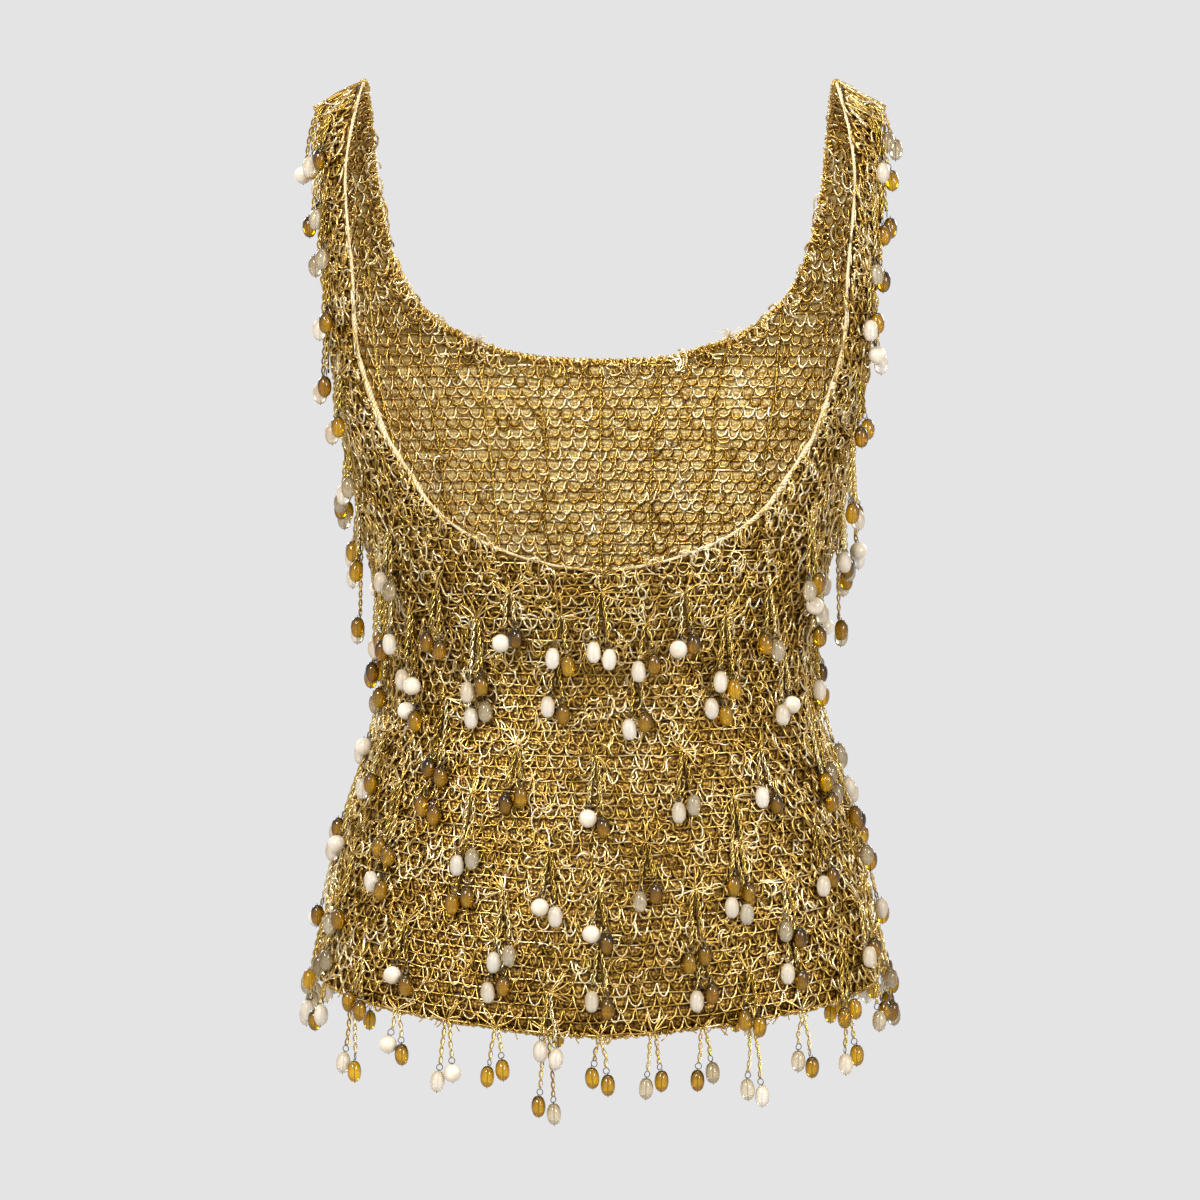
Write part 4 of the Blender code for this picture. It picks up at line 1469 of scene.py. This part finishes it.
@dataclass
class Edgings:
    """The cord on the front neck, and the crocheted edgings of the back neck, the armholes and the hem.

    The cord swells from its base by a rise, exp(-((place - middle) / width)^2), where the place runs from 0
    at the neck's centre to 1 at the shoulder.
    """

    form: Form
    cord: Rope = field(default_factory=lambda: Rope(3, 0.74 * MM, 0.66 * MM, 7.0 * MM, lumps=0.32))
    crochet: tuple = (Rope(2, 0.82 * MM, 1.35 * MM, 7.0 * MM, lumps=0.2),
                      Rope(1, 0.78 * MM, 1.65 * MM, -4.6 * MM, 0.8),
                      Rope(1, 0.90 * MM, 0.3 * MM, 5.0 * MM))
    crochet_tones: tuple = (0.4, 0.55, 0.7)
    hem: tuple = (Rope(2, 0.85 * MM, 0.95 * MM, 8.5 * MM, lumps=0.25),
                  Rope(1, 0.78 * MM, 1.45 * MM, -6.1 * MM, 0.8))
    hem_tones: tuple = (0.35, 0.55)
    cord_base: float = 0.62
    cord_rise: float = 0.68
    cord_middle: float = 0.4
    cord_width: float = 0.16
    back_swell: float = 1.3
    cord_out: float = 0.9 * MM
    edging_out: float = 0.7 * MM
    hem_below: float = 0.6 * MM
    middle: float = -0.8 * MM
    step: float = 0.95 * MM
    hem_points: int = 400
    raggedness: float = 0.5 * MM
    ragged_points: int = 8
    stray_ends: int = 64
    stray_length_mm: tuple = (2.5, 5.5)
    stray_yarn: float = 0.4 * MM
    stray_lift: float = 1.2 * MM
    seed: int = 31

    def neck(self, side: Side, out: float) -> Line:
        """The line beside the whole neck edge of a panel.

        Args:
            side: Front or back.
            out: Distance from the edge into the hole.

        Returns:
            The line, from one shoulder to the other.
        """
        points, normals = self.form.rim(side, Edge.NECK, out, self.middle, self.step)
        points[0, 0] = 0.0
        return np.vstack([points[:0:-1] * MIRROR, points]), np.vstack([normals[:0:-1] * MIRROR, normals])

    def armhole(self, sign: float) -> Line:
        """The line round an armhole.

        Args:
            sign: 1 on the viewer's right, and -1 on the left.

        Returns:
            The closed line, down the front and up the back.
        """
        front, back = (self.form.rim(side, Edge.ARMHOLE, self.edging_out, self.middle, self.step)
                       for side in Side)
        points, normals = (np.vstack([there[::-1], here[1:], there[-1:]]) * (sign, 1.0, 1.0)
                           for there, here in zip(front, back))
        return evenly(points, normals, step=self.step)

    def hem_line(self) -> Line:
        """The line round the hem, below both panels, a little uneven.

        Returns:
            The line.
        """
        rng = np.random.default_rng(self.seed)
        points, normals = [], []
        for side in Side:
            share = np.linspace(side.value, -side.value, self.hem_points)
            point, normal = self.form.at(side, share, np.sqrt(self.form.hem_drop(share)), self.middle)
            points.append(point - self.hem_below * UP)
            normals.append(normal)
        line, normal = evenly(np.vstack(points), np.vstack(normals), step=self.step)
        knots = rng.normal(size=len(line) // self.ragged_points + 2)
        line[:, 2] += self.raggedness * between_knots(knots, len(line), self.ragged_points)
        return line, unit(normal)

    def stray(self, line: np.ndarray, normals: np.ndarray) -> Shape:
        """Short stray ends of yarn that hang from a line and curl aside.

        Args:
            line: The line's points.
            normals: The normals there.

        Returns:
            The shape.
        """
        rng = np.random.default_rng(self.seed + 1)
        pick = rng.integers(0, len(line), self.stray_ends)
        t = np.linspace(0.0, 1.0, 5)[:, None]
        length = rng.uniform(*self.stray_length_mm, (len(pick), 1, 1)) * MM
        tangent = unit(np.gradient(line, axis=0))[pick][:, None]
        aside = rng.uniform(-0.9, 0.9, (len(pick), 1, 1))
        path = line[pick][:, None] + length * (aside * tangent * t**2 - UP * t)
        return sweep(path, normals[pick][:, None], self.stray_yarn)

    def build(self, cord: Material, yarn: Material) -> list[Piece]:
        """Builds all the edgings.

        Args:
            cord: Material of the front neck's cord.
            yarn: Material of the crocheted edgings.

        Returns:
            The pieces, settled.
        """
        bundle = Bundle()
        line, normals = self.neck(Side.FRONT, self.cord_out)
        place = np.abs(2 * arc_length(line) / arc_length(line)[-1] - 1)
        rise = np.exp(-((place - self.cord_middle) / self.cord_width) ** 2)
        bundle.add(self.cord.shape(line, normals, swell=self.cord_base + self.cord_rise * rise))
        bundle.add(self.stray(line + self.stray_lift * normals, normals), 0.8)
        pieces = [settle(bundle.make("neck_cord", cord), ["neck_cord_front"])]
        crochet, hem = (list(zip(ropes, tones)) for ropes, tones in
                        ((self.crochet, self.crochet_tones), (self.hem, self.hem_tones)))
        trims = (("back_neck_edging", "neck_edging_back", self.neck(Side.BACK, self.edging_out), crochet),
                 ("armhole_trim_right", "armhole_edging_right", self.armhole(1.0), crochet),
                 ("armhole_trim_left", "armhole_edging_left", self.armhole(-1.0), crochet),
                 ("hem_trim", "hem_edging", self.hem_line(), hem))
        for name, node, line, ropes in trims:
            bundle = Bundle()
            swell = self.back_swell if node == "neck_edging_back" else 1.0
            for count, (rope, tone) in enumerate(ropes):
                bundle.add(rope.shape(*line, phase=count, swell=swell), tone)
            if node == "hem_edging":
                bundle.add(self.stray(*line), 0.6)
            pieces.append(settle(bundle.make(name, yarn), [node]))
        return pieces


@dataclass
class Tufts:
    """Two frayed tufts of pale thread at the back neck edge.

    A fibre leaves the tuft's point along its own spread, and droops with the square of its length.
    """

    form: Form
    shares: tuple = (-0.335, 0.355)
    fibres: int = 30
    fibre: float = 0.2 * MM
    length_mm: tuple = (5.0, 11.0)
    spread: tuple = (0.55, 0.35, 0.3)
    lean: tuple = (0.0, -0.35, 0.75)
    droop: float = 0.45
    root: float = 2.0 * MM
    seed: int = 41

    def build(self, material: Material) -> Piece:
        """Builds both tufts.

        Args:
            material: The thread's material.

        Returns:
            The piece, settled.
        """
        rng = np.random.default_rng(self.seed)
        bundle = Bundle()
        neck = self.form.edge_lines[Side.BACK, Edge.NECK]
        t = np.linspace(0.0, 1.0, 5)[:, None]
        for share in self.shares:
            root = np.interp(abs(share), neck[:, 0], neck[:, 1])
            point, normal = self.form.at(Side.BACK, share, root, -self.root)
            spread = rng.normal(size=(self.fibres, 1, 3)) * self.spread + self.lean
            length = rng.uniform(*self.length_mm, (self.fibres, 1, 1)) * MM
            path = point + self.root * UP + length * (spread * t - self.droop * UP * t**2)
            bundle.add(sweep(path, normal, self.fibre), 0.8)
        return settle(bundle.make("neck_tufts", material), [])


@dataclass
class BeadDrops:
    """Pairs of bead drops: a twisted chain, a ring of dark wire, and a bead on a pin.

    A drop hangs straight down from its root. Where the cloth bulges below, it lies on the bulge: its
    distance out is the largest that the cloth has had above that height, and a standoff. A dark thread
    beside each chain on the cloth paints the chain's shadow there. Bead and chain tones are a mean and a
    spread, the dark thread's a lowest and a highest, and a turn is the most yaw and the most lean, in
    radians. Kinds are the chances of each kind of bead, in the order of Bead.
    """

    form: Form
    chain: Rope = field(default_factory=lambda: Rope(2, 0.54 * MM, 0.82 * MM, 10.5 * MM))
    narrow: tuple = (-7.5, -5.0, -2.5, 0.0, 2.5, 5.0, 7.5)
    wide: tuple = (-8.75, -6.25, -3.75, -1.25, 1.25, 3.75, 6.25, 8.75)
    lengths: tuple = (0.041, 0.037, 0.044, 0.039, 0.035, 0.043, 0.038)
    hem_lengths: tuple = (0.034, 0.046, 0.040, 0.050, 0.036, 0.048, 0.042)
    between_lengths: tuple = (0.030, 0.066)
    hem_between_lengths: tuple = (0.023, 0.040)
    pair_difference: float = 0.004
    left_kinds: tuple = (0.18, 0.48, 0.16, 0.18)
    right_kinds: tuple = (0.66, 0.12, 0.18, 0.04)
    splay: float = 4.3 * MM
    oval: tuple = (4.0 * MM, 6.0 * MM)
    oval_squareness: float = 0.8
    oval_grid: tuple = (9, 11)
    pearl: float = 5.0 * MM
    pearl_grid: tuple = (11, 16)
    ring: float = 1.7 * MM
    ring_corners: int = 9
    wire: float = 0.30 * MM
    pin: float = 0.28 * MM
    pin_over: float = 1.0 * MM
    pin_under: float = 0.5 * MM
    root_spread: float = 1.1 * MM
    wander: tuple = (2.5 * MM, 3.5 * MM)
    last_share: float = 0.985
    stations: int = 22
    chain_standoff_mm: tuple = (2.6, 1.4)
    sway_mm: float = 0.9
    ring_standoff: float = 4.2 * MM
    bead_standoff: float = 5.6 * MM
    glow: float = -0.35
    bead_tones: tuple = (0.55, 0.14)
    chain_tones: tuple = (0.5, 0.18)
    dark_tones: tuple = (0.0, 0.6)
    ring_turn: tuple = (0.9, 0.15)
    bead_turn: tuple = (3.1, 0.12)
    # the dark thread beside each chain on the cloth, which paints the chain's shadow
    dark: float = 0.6 * MM
    dark_aside: float = 1.4 * MM
    dark_standoff: float = 2.5 * MM
    dark_points: int = 8
    dark_within: float = 0.85
    clearance: float = 9.2 * MM
    height_weight: float = 1.4
    seed: int = 53
    def rows(self, side: Side) -> list[tuple]:
        """The rows of drops on a panel that stand for the solids' rows.

        Args:
            side: Front or back.

        Returns:
            Row, columns and lengths of each.
        """
        if side is Side.FRONT:
            body = ((9.6, self.narrow), (8, self.wide), (6, self.narrow), (4, self.wide), (2, self.narrow),
                    (12, (5.0, 7.5)), (12, (-7.5, -5.0)))
            straps = ((17, 6.0), (20, 5.0), (23, 6.5))
        else:
            body = ((14, self.narrow), (12, self.wide), (10, self.narrow), (8, self.wide),
                    (6, self.narrow), (4, self.wide), (2, self.narrow))
            straps = ((19, 6.0), (22, 5.0))
        rows = [(row, columns, self.lengths) for row, columns in body]
        rows.append((0, self.wide, self.hem_lengths))
        rows += [(row, (sign * column,), self.lengths) for row, column in straps for sign in (1.0, -1.0)]
        return rows

    def between(self, side: Side, rng: np.random.Generator) -> list[tuple]:
        """Further pairs, scattered between the rows, with longer and shorter chains among them.

        Args:
            side: Front or back.
            rng: The random numbers.

        Returns:
            Row, columns and lengths of each.
        """
        if side is Side.FRONT:
            keep = 1.0
            body = ((9, self.wide), (7, self.narrow), (5, self.wide), (3, self.narrow), (1, self.wide))
            sides = ((13, 9.0), (11.5, 8.6), (10.6, 9.3), (10.4, 6.6), (7.6, 9.4), (5.4, 9.3), (3.4, 9.5))
            straps = ((15, 7.0), (18.4, 7.6), (21.6, 4.6), (24.3, 5.5), (25.1, 8.6))
        else:
            keep = 0.4
            body = ((13, self.narrow), (11, self.wide), (9, self.wide), (7, self.narrow), (5, self.wide),
                    (3, self.narrow), (1, self.wide))
            sides = ()
            straps = ((16.5, 7.0), (24.0, 5.5))
        rows = [(row, tuple(column for column in columns if rng.uniform() < keep)) for row, columns in body]
        rows += [(row, (-column, column)) for row, column in (*sides, *straps)]
        rows = [(row, columns, tuple(rng.uniform(*self.between_lengths, 7))) for row, columns in rows
                if columns]
        return [*rows, (0, self.narrow, tuple(rng.uniform(*self.hem_between_lengths, 7)))]

    def strands(self, side: Side, rng: np.random.Generator) -> dict[str, np.ndarray]:
        """The roots, lengths, hands and beads of a panel's drops.

        Args:
            side: Front or back.
            rng: The random numbers.

        Returns:
            Arrays by name, with a value for each drop.
        """
        rows = self.rows(side)
        kept = sum(len(columns) for _, columns, _ in rows)
        table = [(row, column, lengths[(k + int(row)) % len(lengths)], count, row > 0)
                 for row, columns, lengths in (*rows, *self.between(side, rng))
                 for k, column in enumerate(columns) for count in (2 * k, 2 * k + 1)]
        row, column, length, count, loose = (np.array(values, dtype=float) for values in zip(*table))
        length -= self.pair_difference * ((count + count // 2) % 2)
        share, root = self.form.place(side, row, column)
        wander = np.repeat(rng.uniform(-1.0, 1.0, (2, len(row) // 2)), 2, axis=1) * loose
        share, root = self.form.moved(side, share, root, wander[0] * self.wander[0],
                                      wander[1] * self.wander[1])
        share = np.clip(share, -self.last_share, self.last_share)
        clear = np.repeat(self.apart(side, share[::2], root[::2], length.reshape(-1, 2), kept), 2)
        share, root, length, count = (values[clear] for values in (share, root, length, count))
        pairs = len(share) // 2
        left, right = (rng.choice(len(Bead), pairs, p=chances)
                       for chances in (self.left_kinds, self.right_kinds))
        frosted, pearl = (list(Bead).index(bead) for bead in (Bead.FROSTED, Bead.PEARL))
        right = np.where((left == pearl) & (right == pearl), frosted, right)
        kind = np.where(count % 2 == 0, np.repeat(left, 2), np.repeat(right, 2))
        return {"share": share, "root": root, "length": length, "hand": np.where(count % 2 == 0, -1.0, 1.0),
                "kind": kind}

    def apart(self, side: Side, share: np.ndarray, root: np.ndarray, length: np.ndarray,
              first: int) -> np.ndarray:
        """Leaves out each pair between the rows whose beads would touch those of an earlier pair.

        Args:
            side: Front or back.
            share: Shares of the pairs.
            root: Roots of the pairs.
            length: Lengths of their two drops.
            first: How many pairs, at the start, stay in any case.

        Returns:
            True for each pair that stays.
        """
        points = self.form.at(side, share, root)[0]
        beads = np.stack([points + (hand * self.splay, 0.0, 0.0) for hand in (-1.0, 1.0)], axis=1)
        beads[..., 2] -= length - self.oval[1]
        kept = np.ones(len(share), dtype=bool)
        for pair in range(first, len(share)):
            away = beads[:pair][kept[:pair]].reshape(-1, 1, 3) - beads[pair]
            kept[pair] = np.linalg.norm(away / (1.0, 1.0, self.height_weight), axis=2).min() > self.clearance
        return kept

    def hang(self, side: Side, drops: dict, below: np.ndarray, standoff: Values) -> tuple:
        """Points of the drops at distances below their roots, and the level directions there.

        Args:
            side: Front or back.
            drops: The drops.
            below: Drops x stations, distances below the root.
            standoff: Distances out of the cloth, for each station or for all.

        Returns:
            The points, the outward directions and the directions along the cloth.
        """
        share, root = drops["share"], drops["root"]
        start, normals = self.form.at(side, share, root)
        outward = unit(normals * (1.0, 1.0, 0.0))
        along = unit(np.cross(UP, outward)) * -side.value
        wall = self.form.read(side, share[:, None], np.sqrt(root[:, None] ** 2 + below))[..., :3]
        reach = np.maximum.accumulate(np.einsum("nmk,nk->nm", wall, outward), axis=1) + standoff
        bead_at = (drops["length"] - self.oval[1])[:, None]
        splay = self.root_spread + (self.splay - self.root_spread) * np.clip(below / bead_at, 0.0, 1.0)
        across = np.sum(start * along, axis=1)[:, None] + drops["hand"][:, None] * splay
        points = along[:, None] * across[..., None] + outward[:, None] * reach[..., None]
        points[..., 2] = start[:, 2:] - below
        return points, outward, along

    def chains(self, side: Side, drops: dict, rng: np.random.Generator) -> tuple[list[Shape], np.ndarray]:
        """Two plies twisted round each drop's line, from the root to the ring.

        Args:
            side: Front or back.
            drops: The drops.
            rng: The random numbers.

        Returns:
            A shape for each ply, and the tones that both have.
        """
        end = drops["length"] - 2 * self.oval[1] - 2 * self.ring
        t = np.linspace(0.0, 1.0, self.stations)
        below = end[:, None] * t
        close, further = self.chain_standoff_mm
        points, outward, along = self.hang(side, drops, below, (close + further * t**0.5) * MM)
        sway = rng.uniform(-self.sway_mm, self.sway_mm, end[:, None].shape) * MM * np.sin(np.pi * t * 2)
        points = points + along[:, None] * (sway * t * (1 - t) * 4)[..., None]
        turn = 2 * np.pi * (below / self.chain.pitch + rng.uniform(size=end[:, None].shape))
        shapes = []
        for ply in range(self.chain.plies):
            angle = (turn + 2 * np.pi * ply / self.chain.plies)[..., None]
            offset = np.cos(angle) * along[:, None] + np.sin(angle) * outward[:, None]
            shapes.append(sweep(points + self.chain.reach * offset, outward[:, None], self.chain.ply))
        return shapes, np.clip(rng.normal(*self.chain_tones, len(end)), 0.0, 1.0)

    def painted_shadow_threads(self, side: Side, drops: dict, rng: np.random.Generator) -> tuple[Shape, np.ndarray]:
        """The dark thread beside each chain that lies on the cloth, next to its pair's other chain, as
        painted shadow.

        Args:
            side: Front or back.
            drops: The drops.
            rng: The random numbers.

        Returns:
            The shape and its tones.
        """
        on_cloth = drops["root"] ** 2 + drops["length"] < self.form.hem_drop(drops["share"])
        on_cloth &= np.abs(drops["share"]) < self.dark_within
        drops = {name: values[on_cloth] for name, values in drops.items()}
        length = (drops["length"] - 2 * self.oval[1]) * rng.uniform(0.6, 1.0, len(drops["length"]))
        below = length[:, None] * np.linspace(0.0, 1.0, self.dark_points)
        points, outward, along = self.hang(side, drops, below, self.dark_standoff)
        points = points - (drops["hand"] * self.dark_aside)[:, None, None] * along[:, None]
        return sweep(points, outward[:, None], self.dark), rng.uniform(*self.dark_tones, len(length))

    def frames(self, outward: np.ndarray, along: np.ndarray, rng: np.random.Generator, yaw: float,
               tilt: float) -> np.ndarray:
        """Own axes of small shapes that hang along -Z: turned by a yaw, then leaned aside by a tilt.

        Args:
            outward: Directions out of the cloth.
            along: Directions along it.
            rng: The random numbers.
            yaw: Most that one is turned either way.
            tilt: Most that one leans.

        Returns:
            Shapes x 3 x 3, whose rows are the shape's own X, Y and Z.
        """
        angle = rng.uniform(-yaw, yaw, (len(outward), 1))
        lean = rng.uniform(-tilt, tilt, (len(outward), 1))
        x = np.cos(angle) * along + np.sin(angle) * outward
        z = np.cos(lean) * UP + np.sin(lean) * x
        x = unit(x - z * np.sum(x * z, axis=1, keepdims=True))
        return np.stack([x, np.cross(z, x), z], axis=1)

    def hoop(self) -> Shape:
        """A closed ring of wire in the XZ plane: a circle swept round a circle.

        Returns:
            The vertices and face arrays.
        """
        size = (self.ring_corners, YARN_CORNERS)
        turn, ring = (2 * np.pi * corner / count for corner, count in zip(np.indices(size), size))
        reach = self.ring + self.wire * np.cos(ring)
        points = np.stack([reach * np.cos(turn), self.wire * np.sin(ring), reach * np.sin(turn)], axis=2)
        near = np.arange(turn.size).reshape(size)
        far = np.roll(near, -1, axis=0)
        faces = np.stack([near, np.roll(near, -1, axis=1), np.roll(far, -1, axis=1), far], axis=-1)
        return points.reshape(-1, 3), [faces.reshape(-1, 4)]

    def bead_shape(self, bead: Bead) -> Shape:
        """A turned bead: radius * sin(a)^p at the height -half * cos(a), a ball for a pearl or an oval.

        Args:
            bead: Its kind.

        Returns:
            The vertices and face arrays.
        """
        (radius, half), power, (rings, around) = (self.oval, self.oval_squareness, self.oval_grid)
        if bead is Bead.PEARL:
            (radius, half), power, (rings, around) = ((self.pearl, self.pearl), 1.0, self.pearl_grid)
        angle = np.linspace(0.0, np.pi, rings)
        return turned(radius * np.sin(angle[1:-1]) ** power, -half * np.cos(angle), around)

    def build(self, side: Side, finishes: dict[Bead, Material], yarn: Material, dark: Material,
              wire: Material) -> tuple[list[Piece], Places]:
        """Builds a panel's drops: chains, painted shadow threads, wire, and a piece for each kind of bead.

        Args:
            side: Front or back.
            finishes: Material of each kind of bead.
            yarn: Material of the chains.
            dark: Material of the dark threads, which paint the chains' shadows.
            wire: Material of the rings and pins.

        Returns:
            The pieces, settled, and the shares and roots of the pairs.
        """
        rng = np.random.default_rng([self.seed, int(side is Side.BACK)])
        drops = self.strands(side, rng)
        chains, binding, wires = Bundle(), Bundle(), Bundle()
        shapes, tone = self.chains(side, drops, rng)
        for shape in shapes:
            chains.add(shape, tone)
        # dark threads that paint the chains' shadows on the cloth
        binding.add(*self.painted_shadow_threads(side, drops, rng))
        half = np.where(drops["kind"] == list(Bead).index(Bead.PEARL), self.pearl, self.oval[1])
        ring_at = drops["length"] - 2 * self.oval[1] - self.ring
        below = np.column_stack([ring_at[:, None] * np.linspace(0.0, 1.0, self.stations),
                                 ring_at + self.ring + half])
        standoff = np.append(np.full(self.stations, self.ring_standoff), self.bead_standoff)
        points, outward, along = self.hang(side, drops, below, standoff)
        ring, centre = points[:, -2], points[:, -1]
        wires.add(scatter(*self.hoop(), self.frames(outward, along, rng, *self.ring_turn), ring))
        axes = self.frames(outward, along, rng, *self.bead_turn)
        ends = np.stack([half + self.pin_over, -half - self.pin_under], axis=1)[..., None]
        wires.add(sweep(centre[:, None] + axes[:, 2, None] * ends, outward[:, None], self.pin))
        made = [(chains, "chains", yarn, "metallic_yarn"), (binding, "binding", dark, "metallic_yarn"),
                (wires, "wire", wire, "dark_wire")]
        for number, bead in enumerate(Bead):
            chosen = drops["kind"] == number
            shape = self.bead_shape(bead)
            tone = np.clip(rng.normal(*self.bead_tones, chosen.sum()), 0.0, 1.0)[:, None]
            # painted glow: the tone is higher low in each bead and lower at its top
            glow = self.glow * shape[0][:, 2] / np.abs(shape[0][:, 2]).max()
            beads = Bundle()
            beads.add(scatter(*shape, axes[chosen], centre[chosen]), (tone + glow).ravel())
            made.append((beads, f"{bead.value}_beads", finishes[bead], bead.value))
        nodes = [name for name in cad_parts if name.startswith("drops") and f"_{side.word}" in name]
        pieces = [settle(bundle.make(f"{name}_{side.word}", material), nodes)
                  for bundle, name, material, slot in made]
        return pieces, (drops["share"][::2], drops["root"][::2])


@dataclass
class Studio:
    """A pale paper floor that curves up all round, soft lights, and the camera."""

    floor: float = -1.05
    inner_radii: tuple = (0.5, 2.0)
    radius: float = 5.5
    bend: float = 1.8
    bend_steps: int = 12
    height: float = 4.5
    around: int = 48
    lamp_size: float = 0.8
    lamps: tuple = (("key", (-1.1, -2.1, 1.1), 67.0), ("fill", (1.6, -1.9, 0.3), 33.0),
                    ("rim_left", (-1.6, 1.8, 0.9), 34.0), ("rim_right", (1.6, 1.9, 0.6), 28.0),
                    ("top", (0.1, -0.3, 1.9), 26.0))
    air_strength: float = 0.8
    distance: float = 2.5
    elevation: float = 4.0
    aim: float = -0.2936
    frame_width: float = 0.684
    sensor: float = 36.0
    clip_end: float = 60.0

    def paper(self) -> None:
        """Builds the paper: a profile of floor, quarter circle and wall, turned about Z."""
        quarter = np.linspace(0.0, np.pi / 2, self.bend_steps)
        curve = self.radius - self.bend + self.bend * np.sin(quarter)
        out = np.concatenate([self.inner_radii, curve, [self.radius]])[:, None]
        up = np.concatenate([[0.0, 0.0], self.bend * (1 - np.cos(quarter)), [self.height]]) + self.floor
        turn = 2 * np.pi * np.arange(self.around) / self.around
        points = np.stack([out * np.cos(turn), out * np.sin(turn), up[:, None] + 0 * turn], axis=2)
        index = np.arange(points[..., 0].size).reshape(len(out), self.around)
        near, far = index[:-1], index[1:]
        faces = np.stack([near, far, np.roll(far, -1, axis=1), np.roll(near, -1, axis=1)], axis=-1)
        points = np.vstack([points.reshape(-1, 3), self.floor * UP])
        middle = np.stack([index[0], np.roll(index[0], -1), np.full(self.around, len(points) - 1)], axis=1)
        bundle = Bundle()
        bundle.add((points, [faces.reshape(-1, 4)[:, ::-1], middle]))
        bundle.make("paper_floor", MattePaper().make())

    def put(self, name: str, data: bpy.types.ID, place: np.ndarray) -> Piece:
        """Puts a light or the camera at a place, with its -Z towards the aim and X level.

        Args:
            name: Name of the object.
            data: The light or camera.
            place: Where it stands.

        Returns:
            The object.
        """
        thing = bpy.data.objects.new(name, data)
        bpy.context.scene.collection.objects.link(thing)
        z = unit(place - self.aim * UP)
        x = unit(np.cross(UP, z))
        matrix = np.eye(4)
        matrix[:3] = np.column_stack([x, np.cross(z, x), z, place])
        thing.matrix_world = Matrix(matrix.tolist())
        return thing

    def build(self) -> None:
        """Builds the paper, the lights and the camera."""
        self.paper()
        for name, place, power in self.lamps:
            lamp = bpy.data.lights.new(name, "AREA")
            lamp.size, lamp.energy = self.lamp_size, power
            self.put(name, lamp, np.array(place))
        world = bpy.data.worlds.new("studio_air")
        world.use_nodes = True
        air = world.node_tree.nodes["Background"].inputs
        air["Color"].default_value, air["Strength"].default_value = linear(PALE_GREY), self.air_strength
        scene = bpy.context.scene
        scene.world = world
        scene.view_settings.view_transform = "Standard"
        lens = bpy.data.cameras.new("camera")
        lens.sensor_width, lens.clip_end = self.sensor, self.clip_end
        lens.lens = self.sensor * self.distance / self.frame_width
        rise = np.radians(self.elevation)
        away = self.distance * np.array((0.0, -np.cos(rise), np.sin(rise)))
        scene.camera = self.put("camera", lens, away + self.aim * UP)


def main() -> None:
    logging.basicConfig(level=logging.INFO, format="%(message)s")
    Studio().build()
    outer_yarn = TwistedYarn("lurex_yarn_twisted", "#6A4A0C", "#CCA54C", "#F8E8BC").make()
    inner_yarn = TwistedYarn("lurex_yarn_inside", "#865E16", "#D2AA56", "#FDEEC4").make()
    loose_yarn = TwistedYarn("lurex_yarn_loose", "#765210", "#D6B05C", "#FFF2CC").make()
    chain_yarn = TwistedYarn("lurex_chain_crocheted", "#7A5810", "#D8B658", "#FFF2C6", roughness=0.25).make()
    # dark thread beside each chain, which paints its shadow on the cloth
    painted_shadow_yarn = TwistedYarn("lurex_thread_painted_shadow", "#2C1C05", "#5E4414", "#8C6C30", 0.8, 0.4).make()
    cord = TwistedYarn("viscose_cord_pale", "#B09460", "#DDC698", "#F2E6C8", 0.3, 0.48).make()
    # the outside ground is dark as painted shade in the meshes of the heavy yarn
    ground_out_painted_shade = MetallicGround("lurex_ground_outside_painted_shade", "#170C00", "#583A08", "#B48E3E", 0.8, 0.42).make()
    ground_in = MetallicGround("lurex_ground_inside", "#66440C", "#A08446", "#C6B276", 0.5, 0.5,
                               course_shadow=1.2).make()
    glass = {
        Bead.AMBER: PressedGlass("amber_pressed_glass", "#342400", "#BC8804", "#FACC1E", 0.04, 0.75, 0.9),
        Bead.FROSTED: PressedGlass("frosted_pressed_glass", "#D2C0A0", "#EEE2CC", "#FCF5E8", 0.3, 0.5),
        Bead.CLEAR: PressedGlass("smoky_pressed_glass", "#86704A", "#CBB890", "#F6ECD4", 0.10, 0.68),
        Bead.PEARL: PearlLacquer(),
    }
    beads = {bead: finish.make() for bead, finish in glass.items()}
    wire = OxidisedWire().make()
    form = Form()
    ground, net, floats, drops = Ground(form, ground_out_painted_shade, ground_in), Net(form), Floats(form), BeadDrops(form)
    trims = [*Edgings(form).build(cord, outer_yarn), Tufts(form).build(cord)]
    for side in Side:
        hanging, roots = drops.build(side, beads, chain_yarn, painted_shadow_yarn, wire)
        nodes = [f"{side.word}_panel"]
        panel = settle(ground.build(side, net.levels(side)), nodes)
        yarns = [net.build(side, Face.OUTER, outer_yarn), net.build(side, Face.INNER, inner_yarn),
                 floats.build(side, roots, loose_yarn)]
        if side is Side.BACK:
            yarns.append(Stays(form).build(chain_yarn))
        for piece in yarns:
            settle(piece, nodes)
        width, length, area = form.cut(side)
        LOG.info("%s panel: %.3f m wide, %.3f m long, %.4f m2 flat", side.word, width, length, area)


if __name__ == "__main__":
    main()
